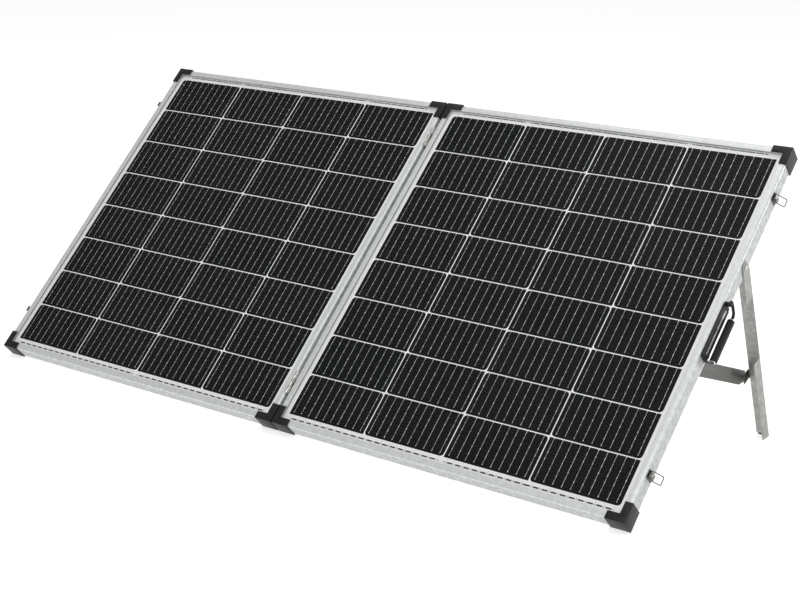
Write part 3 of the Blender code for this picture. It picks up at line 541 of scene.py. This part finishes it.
def rounded(points, steps=4):
    """A closed outline of (first, second, radius) corners, each corner turned into a bend."""
    made = []
    for index, (first, second, radius) in enumerate(points):
        corner = Vector((first, second))
        if not radius:
            made.append(corner)
            continue
        before = Vector(points[index - 1][:2]) - corner
        after = Vector(points[(index + 1) % len(points)][:2]) - corner
        reach = radius / tan(before.angle(after) / 2)
        start, end = corner + before.normalized() * reach, corner + after.normalized() * reach
        made += arc_between(start, corner, end, steps)
    return made


def oblong(low, high, radius):
    """A rectangle's outline with round corners."""
    corners = ((low[0], low[1]), (high[0], low[1]), (high[0], high[1]), (low[0], high[1]))
    return rounded([(*corner, radius) for corner in corners], ROUND_STEPS)


def ear_outline(back, front, middle, radius, steps):
    """An ear that stands out from a plate and has a round end."""
    corner = EAR_ROUNDING * radius
    return rounded([(back, middle - radius, 0), (front, middle - radius, corner),
                    (front, middle + radius, corner), (back, middle + radius, 0)], steps)


def bent(points, radius):
    """The points of a path with its inner corners turned into bends of the given radius."""
    points = [Vector(point) for point in points]
    made = [points[0]]
    for before, corner, after in zip(points, points[1:], points[2:]):
        into, away = before - corner, after - corner
        reach = min(radius, 0.45 * into.length, 0.45 * away.length)
        start, end = corner + into.normalized() * reach, corner + away.normalized() * reach
        made += arc_between(start, corner, end, BEND_STEPS)
    return made + [points[-1]]


def mirrored(half_path):
    """A whole path from the half of it on the +y side."""
    return half_path + [(x, -y, z) for x, y, z in reversed(half_path)]


def curve_mesh(curve):
    """A curve's closed surface as a mesh."""
    made = bpy.data.objects.new("guide", curve)
    bpy.context.scene.collection.objects.link(made)
    bpy.context.view_layer.update()
    mesh = bpy.data.meshes.new_from_object(made.evaluated_get(bpy.context.evaluated_depsgraph_get()))
    bpy.data.objects.remove(made)
    shape = bmesh.new()
    shape.from_mesh(mesh)
    bmesh.ops.remove_doubles(shape, verts=shape.verts, dist=1e-6)
    return mesh_from(shape)


def add_points(curve, points, closed):
    spline = curve.splines.new("POLY")
    spline.points.add(len(points) - 1)
    for point, place in zip(spline.points, points):
        point.co = (*place, 1) if len(place) == 3 else (*place, 0, 1)
    spline.use_cyclic_u = closed


def wire(points, radius, resolution=6):
    """A round wire through the given points, closed at both ends."""
    curve = bpy.data.curves.new("wire", "CURVE")
    curve.dimensions = "3D"
    curve.bevel_depth = radius
    curve.bevel_resolution = resolution
    curve.use_fill_caps = True
    add_points(curve, points, closed=False)
    return curve_mesh(curve)


def plate(outlines, thickness, bevel):
    """A flat plate with rounded edges, from its outer outline and the outlines of its holes."""
    curve = bpy.data.curves.new("plate", "CURVE")
    curve.dimensions = "2D"
    curve.fill_mode = "BOTH"
    curve.extrude = thickness / 2 - bevel
    curve.bevel_depth = bevel
    curve.bevel_resolution = 2
    curve.offset = -bevel
    for outline in outlines:
        add_points(curve, outline, closed=True)
    return curve_mesh(curve)


def plate_at(outlines, thickness, bevel, place, stand=FLAT_XY):
    """A plate with its middle at a place."""
    return moved(plate(outlines, thickness, bevel), Matrix.Translation(place) @ stand)


def extruded(outline, length):
    """An outline in (y, z) run along x with mitred ends, which shorten it by y at each end."""
    shape = bmesh.new()
    ends = []
    for sign in (-1, 1):
        ends.append([shape.verts.new((sign * (length / 2 - y), y, z)) for y, z in outline])
    shape.faces.new(ends[0])
    shape.faces.new(reversed(ends[1]))
    for index in range(len(outline)):
        after = (index + 1) % len(outline)
        shape.faces.new((ends[0][index], ends[0][after], ends[1][after], ends[1][index]))
    return mesh_from(shape)


def turned(profile, segments):
    """A solid of revolution about x from (place, radius) pairs. A third value gives a ring four lobes."""
    shape = bmesh.new()
    rings = []
    for along, radius, *lobes in profile:
        if not radius:
            rings.append([shape.verts.new((along, 0, 0))])
            continue
        ring = []
        for step in range(segments):
            angle = 2 * pi * step / segments
            reach = radius * (1 + sum(lobes) * cos(4 * angle))
            ring.append(shape.verts.new((along, reach * cos(angle), reach * sin(angle))))
        rings.append(ring)
    for first, second in zip(rings, rings[1:]):
        for step in range(segments):
            after = (step + 1) % segments
            corners = (first[step % len(first)], first[after % len(first)],
                       second[after % len(second)], second[step % len(second)])
            shape.faces.new(list(dict.fromkeys(corners)))
    return mesh_from(shape)


def scaled(shares, length, radius):
    """A profile from shares of a length and of a radius."""
    return [(length * along, radius * reach) for along, reach in shares]


def rivet(radius, height, place, towards):
    """A domed rivet head."""
    profile = [(-HEAD_SINK, 0), (-HEAD_SINK, radius)]
    for step in range(ROUND_STEPS):
        angle = pi / 2 * step / ROUND_STEPS
        profile.append((height * sin(angle), radius * cos(angle)))
    return pointed(turned(profile + [(height, 0)], 24), place, towards)


def screw(radius, place, towards):
    """A pan head with a cross recess."""
    height = 0.5 * radius
    profile = [
        (-HEAD_SINK, 0), (-HEAD_SINK, radius), (0.45 * height, radius), (0.8 * height, 0.86 * radius),
        (height, 0.66 * radius), (height, 0.42 * radius, 0.3), (0.35 * height, 0.3 * radius, 0.3),
        (0.3 * height, 0),
    ]
    return pointed(turned(profile, 32), place, towards)


def nut(radius, height, bore, place, towards):
    """A hexagon nut with chamfered corners, round a threaded end."""
    chamfer, tip = 0.12 * radius, height + 0.3 * bore
    body = turned([(0, 0), (0, 0.92 * radius), (chamfer, radius), (height - chamfer, radius),
                   (height, 0.92 * radius), (height, 0)], 6)
    end = turned([(height, 0), (height, bore), (tip, 0.8 * bore), (tip, 0)], 24)
    return pointed(gathered(body, end), place, towards)


def refined(node, bevel, axes):
    """A CAD node's own shape, welded, with its flat faces whole and its edges rounded."""
    shape = bmesh.new()
    shape.from_mesh(frame["nodes"][node].data)
    bmesh.ops.transform(shape, matrix=axes.inverted(), verts=shape.verts)
    bmesh.ops.remove_doubles(shape, verts=shape.verts, dist=2e-6)
    bmesh.ops.dissolve_limit(shape, angle_limit=radians(1), verts=shape.verts, edges=shape.edges)
    shared = [edge for edge in shape.edges if len(edge.link_faces) == 2]
    edges = [edge for edge in shared if edge.calc_face_angle() > SHARP_EDGE]
    bmesh.ops.bevel(shape, geom=edges, offset=bevel, segments=EDGE_STEPS, profile=0.5, affect="EDGES",
                    clamp_overlap=True)
    return mesh_from(shape)


def finish_node(node, look, bevel, axes=DECK, extras=()):
    """Shows a CAD node through its refined shape, with its small details."""
    mesh = gathered(refined(node, bevel, axes), *extras)
    body = frame["nodes"][node]["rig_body"]
    piece(f"{node}_finished", mesh, look, body, axes, (node,), 35)


# ---------------------------------------------------------------- panels

def strip(shape, low_x, low_y, high_x, high_y, height):
    corners = ((low_x, low_y), (high_x, low_y), (high_x, high_y), (low_x, high_y))
    shape.faces.new([shape.verts.new((x, y, height)) for x, y in corners])


def cell_outline(middle_x, middle_y, cut_top):
    """A half-cut cell with its two rounded corners on one long side."""
    x, y = CELL_WIDTH / 2, CELL_HEIGHT / 2
    outline = rounded([(-x, -y, 0), (x, -y, 0), (x, y, CELL_CORNER), (-x, y, CELL_CORNER)], ROUND_STEPS)
    flip = 1 if cut_top else -1
    return [(middle_x + a, middle_y + flip * b) for a, b in outline]


def wire_places(first_x, column):
    """Where one column's wires run."""
    middle = first_x + (column + 0.5) * COLUMN_PITCH
    return [middle + (index - (WIRES - 1) / 2) * WIRE_SPACING for index in range(WIRES)]


def make_ribbons(shape, first_x, front):
    """The dark bus ribbons past both ends of the cells, broken at each wire by a dark tick."""
    wires = [x for column in range(CELL_COLUMNS) for x in wire_places(first_x, column)]
    for start, end, middle, width, gap in RIBBON_RUNS:
        low_x, high_x = first_x + start * COLUMN_PITCH, first_x + end * COLUMN_PITCH
        low_y, high_y = middle - width / 2, middle + width / 2
        crossed = [x for x in wires if low_x < x < high_x]
        edges = [low_x] + [x + sign * gap / 2 for x in crossed for sign in (-1, 1)] + [high_x]
        for left, right in zip(edges[::2], edges[1::2]):
            if right - left > TICK_WIDTH:
                strip(shape, left, low_y, right, high_y, front + RIBBON_LIFT)
        for x in crossed:
            strip(shape, x - TICK_WIDTH / 2, low_y, x + TICK_WIDTH / 2, high_y, front + RIBBON_LIFT)


def make_cells(side):
    """The cells, their wires and the ribbons that join the strings, just in front of the white film."""
    low, high = extent(f"{side}_cell_sheet")
    front = high.z
    rng = random.Random(f"{side} cells")
    cells, wires, ribbons = bmesh.new(), bmesh.new(), bmesh.new()
    tint_layer = cells.faces.layers.float.new("tint")
    first_x = (low.x + high.x) / 2 - COLUMN_PITCH * CELL_COLUMNS / 2
    lowest, highest = CELLS_FROM_BOTTOM, CELLS_FROM_BOTTOM + CELL_ROWS * ROW_PITCH
    for column in range(CELL_COLUMNS):
        middle_x = first_x + (column + 0.5) * COLUMN_PITCH
        places = wire_places(first_x, column)
        for row in range(CELL_ROWS):
            middle_y = CELLS_FROM_BOTTOM + (row + 0.5) * ROW_PITCH
            outline = cell_outline(middle_x, middle_y, cut_top=column % 2 == 0)
            cell = cells.faces.new([cells.verts.new((x, y, front + CELL_LIFT)) for x, y in outline])
            cell[tint_layer] = rng.random()
            top, bottom = middle_y + CELL_HEIGHT / 2, middle_y - CELL_HEIGHT / 2 + WIRE_STOP
            for x in places:
                strip(wires, x - WIRE_WIDTH / 2, bottom, x + WIRE_WIDTH / 2, top, front + WIRE_LIFT)
                for pad in range(PADS):
                    y = bottom + (top - bottom - PAD_LENGTH) * pad / (PADS - 1)
                    strip(wires, x - PAD_WIDTH / 2, y, x + PAD_WIDTH / 2, y + PAD_LENGTH, front + WIRE_LIFT)
        for x in places:
            for low_y, high_y in ((RIBBON_RUNS[0][2], lowest), (highest, RIBBON_RUNS[-1][2])):
                strip(wires, x - STUB_WIDTH / 2, low_y, x + STUB_WIDTH / 2, high_y, front + CELL_LIFT)
    make_ribbons(ribbons, first_x, front)
    layers = (("cells", cells, CELLS), ("cell_wires", wires, WIRE), ("bus_ribbons", ribbons, RIBBON))
    for name, shape, look in layers:
        mesh = bpy.data.meshes.new(name)
        shape.to_mesh(mesh)
        shape.free()
        piece(f"{side}_{name}", mesh, look, f"{side}_panel", smooth=0)


def rail_outline(depth):
    """The frame extrusion: a rounded lip, the glass slot, a rear flange and flutes down its side."""
    ledge = FRAME_WALL + GLASS_SLOT
    across, down = LIP_ROUND
    lip = arc_between(Vector((0, -down)), Vector((0, 0)), Vector((across, 0)), BEND_STEPS)
    points = [(*point, 0) for point in lip]
    points += [
        (LIP_WIDTH, 0, LIP_EDGE), (LIP_WIDTH, -FRAME_WALL, LEDGE_EDGE),
        (FRAME_WALL, -FRAME_WALL, 0), (FRAME_WALL, -ledge, 0), (LIP_WIDTH, -ledge, LEDGE_EDGE),
        (LIP_WIDTH, -ledge - FRAME_WALL, LEDGE_EDGE), (FRAME_WALL, -ledge - FRAME_WALL, FLANGE_FILLET),
        (FRAME_WALL, FRAME_WALL - depth, FLANGE_FILLET), (REAR_FLANGE, FRAME_WALL - depth, LIP_EDGE),
        (REAR_FLANGE, -depth, LIP_EDGE), (0, -depth, REAR_EDGE),
    ]
    for index in reversed(range(FLUTES)):
        middle = -FIRST_FLUTE - index * FLUTE_PITCH
        points += [
            (0, middle - FLUTE_HALF, 0), (FLUTE_DEPTH, middle - FLUTE_HALF / 2, 0),
            (FLUTE_DEPTH, middle + FLUTE_HALF / 2, 0), (0, middle + FLUTE_HALF, 0),
        ]
    return rounded(points)


def make_rails(side, sign):
    """Four mitred rails round one panel."""
    for edge in ("outer", "hinge_side", "bottom", "top"):
        node = f"{side}_{edge}_rail"
        low, high = extent(node)
        middle = (low + high) / 2
        if edge in ("bottom", "top"):
            length = high.x - low.x
            inward = Vector((0, 1 if edge == "bottom" else -1, 0))
            outside = Vector((middle.x, low.y if edge == "bottom" else high.y, high.z))
        else:
            length = high.y - low.y
            towards = -sign if edge == "outer" else sign
            inward = Vector((towards, 0, 0))
            outside = Vector((high.x if towards < 0 else low.x, middle.y, high.z))
        local = axes_matrix(inward.cross(Vector((0, 0, 1))), inward, outside)
        mesh = extruded(rail_outline(high.z - low.z), length)
        piece(f"{side}_{edge}_extrusion", mesh, ANODISED, f"{side}_panel",
              DECK @ local, (node,))


def make_panel(side, sign):
    """Frame, caps, glass, cells and film of one panel."""
    make_rails(side, sign)
    make_cells(side)
    for node, look in (("glass", GLASS), ("cell_sheet", FILM), ("backsheet", FILM)):
        frame["nodes"][f"{side}_{node}"].data.materials[0] = look
    for corner in ("bottom_outer", "top_outer", "bottom_inner", "top_inner"):
        finish_node(f"{side}_{corner}_cap", CAP_PLASTIC, MOULDED_EDGE)


def make_junction_box(side):
    """The box on the panel's back, and its ribbed lid with a screw at each corner."""
    low, high = extent(f"{side}_junction_lid")
    screws = [screw(LID_SCREW, (x, y, low.z), (0, 0, -1))
              for x in (low.x + LID_SCREW_INSET, high.x - LID_SCREW_INSET)
              for y in (low.y + LID_SCREW_INSET, high.y - LID_SCREW_INSET)]
    ribs = []
    for share in LID_RIBS:
        y = low.y + share * (high.y - low.y)
        outline = oblong((low.x + RIB_INSET, y - RIB_HALF_WIDTH), (high.x - RIB_INSET, y + RIB_HALF_WIDTH),
                         RIB_CORNER)
        ribs.append(plate_at([outline], RIB_THICKNESS, ANGLE_EDGE, (0, 0, low.z)))
    finish_node(f"{side}_junction_box", BOX_PLASTIC, MOULDED_EDGE)
    finish_node(f"{side}_junction_lid", BOX_PLASTIC, THIN_MOULDED_EDGE, extras=ribs)
    piece(f"{side}_lid_screws", gathered(*screws), NICKEL, f"{side}_panel")


def make_gland(side):
    """The empty cable gland: a thread in the box, a six-sided collar and a domed nut."""
    low, high = extent(f"{side}_cable_gland")
    middle = (low + high) / 2
    reach, radius = high.y - low.y, (high.x - low.x) / 2
    parts = [turned(scaled(shares, reach, radius), segments)
             for shares, segments in ((GLAND_THREAD, 32), (GLAND_COLLAR, 6), (GLAND_DOME, 36))]
    gland = pointed(gathered(*parts), (middle.x, high.y, middle.z), (0, -1, 0))
    piece(f"{side}_gland_nut", gland, BOX_PLASTIC, f"{side}_panel",
          replaces=(f"{side}_cable_gland",))


# ---------------------------------------------------------------- latches

def make_latch_base(name, local, lever_side):
    """The riveted base plate, and the two ears that hold the lever's pin."""
    low, high = extent(f"{name}_latch_base", local)
    outline = oblong((low.y, low.z), (high.y, high.z), LATCH_CORNER)
    parts = [plate_at([outline], LATCH_PLATE, LEAF_EDGE, (low.x + LATCH_PLATE / 2, 0, 0), FLAT_YZ)]
    ear_middle = lever_side + LEVER_EAR_GAP + LATCH_PLATE / 2
    outline = ear_outline(low.x, LEVER_EAR, 0, LEVER_EAR, 6)
    for sign in (-1, 1):
        parts += [
            plate_at([outline], LATCH_PLATE, THIN_EDGE, (0, sign * ear_middle, 0), FLAT_XZ),
            rivet(PIN_END, PIN_END_DOME, (0, sign * (ear_middle + LATCH_PLATE / 2), 0), (0, sign, 0)),
            rivet(LATCH_RIVET, RIVET_DOME,
                  (low.x + LATCH_PLATE, sign * LATCH_RIVET_SPREAD, low.z + LATCH_RIVET_RISE), (1, 0, 0)),
        ]
    piece(f"{name}_latch_plate", gathered(*parts), DARK_NICKEL, "right_panel", local,
          (f"{name}_latch_base",))


def make_keeper(name):
    """The hook on the other panel's side, with its two rivets."""
    node = f"{name}_latch_keeper"
    low, high = extent(node)
    face, middle = high.x - KEEPER_PLATE, (low.y + high.y) / 2
    rivets = [rivet(KEEPER_RIVET, RIVET_DOME,
                    (face, middle + sign * KEEPER_RIVET_SPREAD, low.z + KEEPER_RIVET_RISE), (-1, 0, 0))
              for sign in (-1, 1)]
    finish_node(node, DARK_NICKEL, PLATE_EDGE, extras=rivets)


def make_latch(name):
    """A draw latch: base, lever plate, wire bail, and the keeper on the other panel."""
    local = at_joint(f"{name}_latch_lift")
    lever_high = extent(f"{name}_latch_lever", local)[1]
    make_latch_base(name, local, lever_high.y)
    head = rivet(LEVER_RIVET, LEVER_RIVET_DOME, (lever_high.x, 0, -LEVER_RIVET_DROP), (1, 0, 0))
    piece(f"{name}_lever_rivet", head, NICKEL, f"{name}_lever", local)
    finish_node(f"{name}_latch_lever", LEVER_STEEL, STRUT_EDGE, local)

    bail_axes = local @ Matrix.Translation((0, 0, -BAIL_OFFSET)) @ Matrix.Rotation(BAIL_DROOP, 4, "Y")
    path = mirrored([(0, lever_high.y - BAIL_TUCK, 0), (0, BAIL_HALF_WIDTH, 0),
                     (BAIL_REACH, BAIL_HALF_WIDTH, 0)])
    piece(f"{name}_bail_wire", wire(bent(path, BAIL_BEND), BAIL_WIRE), DARK_NICKEL, f"{name}_bail",
          bail_axes, (f"{name}_latch_bail",))
    make_keeper(name)


# ---------------------------------------------------------------- handle

def make_handle_base(axis_z):
    """The slotted base with its ears and gussets, and the screws and strap that hold it."""
    low, high = extent("handle_base")
    face = low.x + HANDLE_PLATE
    back = face - EAR_SINK
    slot_y, slot_z = (low.y + high.y) / 2, high.z - SLOT_DEPTH
    slot_low = (slot_y - SLOT_LENGTH / 2, slot_z - SLOT_WIDTH / 2)
    slot_high = (slot_y + SLOT_LENGTH / 2, slot_z + SLOT_WIDTH / 2)
    outer = oblong((low.y, low.z), (high.y, high.z), HANDLE_CORNER)
    slot = oblong(slot_low, slot_high, SLOT_CORNER)
    parts = [plate_at([outer, slot], HANDLE_PLATE, HANDLE_ROUND, (face - HANDLE_PLATE / 2, 0, 0), FLAT_YZ)]
    ear = ear_outline(back, high.x, axis_z, EAR_RADIUS, 8)
    gusset = rounded([(back, axis_z - 2.4 * EAR_RADIUS, 0),
                      (face + GUSSET_REACH, axis_z - 0.6 * EAR_RADIUS, GUSSET_CORNER),
                      (face + GUSSET_REACH, axis_z, 0), (back, axis_z, 0)])
    for end, sign in ((high.y, 1), (low.y, -1)):
        place = (0, end - sign * EAR_LENGTH / 2, 0)
        parts += [plate_at([ear], EAR_LENGTH, HANDLE_ROUND, place, FLAT_XZ),
                  plate_at([gusset], GUSSET_THICKNESS, PLATE_EDGE, place, FLAT_XZ)]
    piece("handle_mount", gathered(*parts), BOX_PLASTIC, "right_panel",
          replaces=("handle_base",))

    fixings = [screw(HANDLE_SCREW, (face, y, low.z + HANDLE_SCREW_RISE), (1, 0, 0))
               for y in (low.y + HANDLE_SCREW_INSET, high.y - HANDLE_SCREW_INSET)]
    strap = oblong([place + STRAP_GAP for place in slot_low], [place - STRAP_GAP for place in slot_high],
                   STRAP_CORNER)
    fixings.append(plate_at([strap], STRAP_THICKNESS, THIN_EDGE, (low.x + STRAP_THICKNESS / 2, 0, 0),
                            FLAT_YZ))
    piece("handle_fixings", gathered(*fixings), BRIGHT_STEEL, "right_panel")
    return (high.y - low.y) / 2


def make_grip(swing, grip_end, reach):
    """The rubber sleeve with its rounded and grooved ends, and a bright ring past each end."""
    profile = [(-grip_end, GRIP_BORE), (-grip_end, GRIP_RADIUS - GRIP_ROUND[1])]
    for step in range(1, 5):
        angle = pi / 8 * step
        profile.append((GRIP_ROUND[0] * (1 - cos(angle)) - grip_end,
                        GRIP_RADIUS + GRIP_ROUND[1] * (sin(angle) - 1)))
    profile += [(along - grip_end, GRIP_RADIUS - depth) for along, depth in GRIP_GROOVE]
    profile += [(0, GRIP_RADIUS)] + [(-along, radius) for along, radius in reversed(profile)]
    shape = bmesh.new()
    shape.from_mesh(turned(profile, 48))
    bmesh.ops.bridge_loops(shape, edges=[edge for edge in shape.edges if edge.is_boundary])
    sleeve = pointed(mesh_from(shape), (0, -SLEEVE_DROP, reach), (0, 1, 0))
    piece("handle_sleeve", sleeve, RUBBER, "handle", swing, ("handle_grip",))

    start, stop = RING_SIDES
    rim = RING_RADIUS - RING_CHAMFER
    ring = [(start, 0), (start, rim), (start + RING_CHAMFER, RING_RADIUS), (stop - RING_CHAMFER, RING_RADIUS),
            (stop, rim), (stop, 0)]
    rings = [pointed(turned(ring, 32), (0, sign * grip_end - SLEEVE_DROP, reach), (0, sign, 0))
             for sign in (-1, 1)]
    piece("handle_end_rings", gathered(*rings), BRIGHT_STEEL, "handle", swing)


def make_handle():
    """The base, the painted rod that swings in its ears, and the grip on the rod."""
    swing = at_joint("handle_swing")
    half = make_handle_base((DECK.inverted() @ swing.translation).z)
    low, high = extent("handle_grip", swing)
    grip_end, reach = high.y, (low.z + high.z) / 2
    wide, narrow = half + HANDLE_ROD + ROD_SIDE_GAP, grip_end + ROD_NARROWING
    path = mirrored([(0, half - EAR_LENGTH - ROD_END_GAP, 0), (0, wide, -ROD_LEAD), (0, wide, -ROD_DROP),
                     (0, narrow, reach), (0, grip_end - ROD_TUCK, reach)])
    piece("handle_rod", wire(bent(path, ROD_BEND), HANDLE_ROD, 8), BLACK_ROD, "handle", swing,
          ("handle_bail",))
    make_grip(swing, grip_end, reach)


# ---------------------------------------------------------------- legs and hinges

def make_leg_bolt(side, sign):
    """The domed bolt that a leg turns on, and its nut."""
    bolt_axes = at_joint(f"{side}_leg_fold")
    low, high = extent(f"{side}_leg_bolt", bolt_axes)
    head_end, nut_end = (high.x, low.x) if sign > 0 else (low.x, high.x)
    outwards = Vector((sign, 0, 0))
    head = turned(scaled(BOLT_SOCKETED_HEAD, BOLT_RISE, BOLT_HEAD), 40)
    shank = [(-BOLT_REACH, 0), (-BOLT_REACH, BOLT_SHANK), (-BOLT_RISE, BOLT_SHANK), (-BOLT_RISE, 0)]
    bolt = pointed(gathered(head, turned(shank, 28)), (head_end, 0, 0), outwards)
    lock_nut = nut(BOLT_HEAD, NUT_HEIGHT, BOLT_SHANK, (nut_end + sign * NUT_SEAT, 0, 0), -outwards)
    piece(f"{side}_pivot_bolt", gathered(bolt, lock_nut), NICKEL, f"{side}_panel", bolt_axes,
          (f"{side}_leg_bolt",))


def make_leg(side, sign):
    """One leg with its foot and catch, its brace and bracket, and the pins that they turn on."""
    leg_axes = at_joint(f"{side}_leg_fold", radians(joints[f"{side}_leg_fold"]["range_deg"][1]))
    brace_axes = at_joint(f"{side}_brace_fold", -radians(joints[f"{side}_brace_fold"]["range_deg"][1]))
    finish_node(f"{side}_leg", MILL, ANGLE_EDGE, leg_axes)
    finish_node(f"{side}_leg_foot", RUBBER, THIN_MOULDED_EDGE, leg_axes)
    finish_node(f"{side}_leg_catch", DARK_NICKEL, PLATE_EDGE, leg_axes)
    finish_node(f"{side}_brace", SHADED_BRACE_METAL, STRUT_EDGE, brace_axes)
    finish_node(f"{side}_brace_bracket", DARK_NICKEL, PLATE_EDGE)
    make_leg_bolt(side, sign)
    finish_node(f"{side}_brace_pin", NICKEL, ANGLE_EDGE)


def make_hinge(name):
    """One butt hinge: two leaves with screws, and the pin through their knuckles."""
    for side, sign in SIDES.items():
        node = f"{name}_hinge_{side}_leaf"
        low, high = extent(node)
        face = sign * (INNER_SIDE - LEAF_THICKNESS)
        middle = (low.y + high.y) / 2
        screws = [screw(LEAF_SCREW, (face, middle + along, depth), (-sign, 0, 0))
                  for along, depth in LEAF_SCREWS]
        finish_node(node, NICKEL, LEAF_EDGE, extras=screws)
    finish_node(f"{name}_hinge_pin", NICKEL, STRUT_EDGE)


for side, sign in SIDES.items():
    make_panel(side, sign)
    make_junction_box(side)
    make_gland(side)
    make_leg(side, sign)
for name in LATCHES:
    make_latch(name)
    make_hinge(name)
make_handle()


# ---------------------------------------------------------------- stage

def make_stage():
    """A pale floor, soft lights and the camera."""
    floor_look = Look("pale_floor", (FLOOR_COLOUR,) * 3, 0.9, Emission_Color=(1, 1, 1, 1),
                      Emission_Strength=FLOOR_GLOW)
    mesh = bpy.data.meshes.new("floor")
    corners = [(x * FLOOR_HALF, y * FLOOR_HALF, 0) for x, y in ((-1, -1), (1, -1), (1, 1), (-1, 1))]
    mesh.from_pydata(corners, [], [(0, 1, 2, 3)])
    mesh.materials.append(floor_look.material)
    floor = bpy.data.objects.new("floor", mesh)
    floor.location.z = -FLOOR_DROP
    bpy.context.scene.collection.objects.link(floor)

    world = bpy.data.worlds.new("studio")
    world.use_nodes = True
    world.node_tree.nodes["Background"].inputs["Color"].default_value = (1, 1, 1, 1)
    world.node_tree.nodes["Background"].inputs["Strength"].default_value = WORLD_STRENGTH
    bpy.context.scene.world = world
    for name, place, size, power in LIGHTS:
        lamp = bpy.data.lights.new(name, "AREA")
        lamp.shape = "DISK"
        lamp.size, lamp.energy = size, power
        made = bpy.data.objects.new(name, lamp)
        made.location = place
        made.rotation_euler = (-Vector(place)).to_track_quat("-Z", "Y").to_euler()
        bpy.context.scene.collection.objects.link(made)

    lens = bpy.data.cameras.new("camera")
    lens.lens, lens.sensor_width = CAMERA_LENS, CAMERA_SENSOR
    camera = bpy.data.objects.new("camera", lens)
    bpy.context.scene.collection.objects.link(camera)
    camera.location = CAMERA_PLACE
    camera.rotation_euler = Vector(CAMERA_AIM).to_track_quat("-Z", "Y").to_euler()
    bpy.context.scene.camera = camera
    bpy.context.scene.view_settings.view_transform = "Standard"


make_stage()
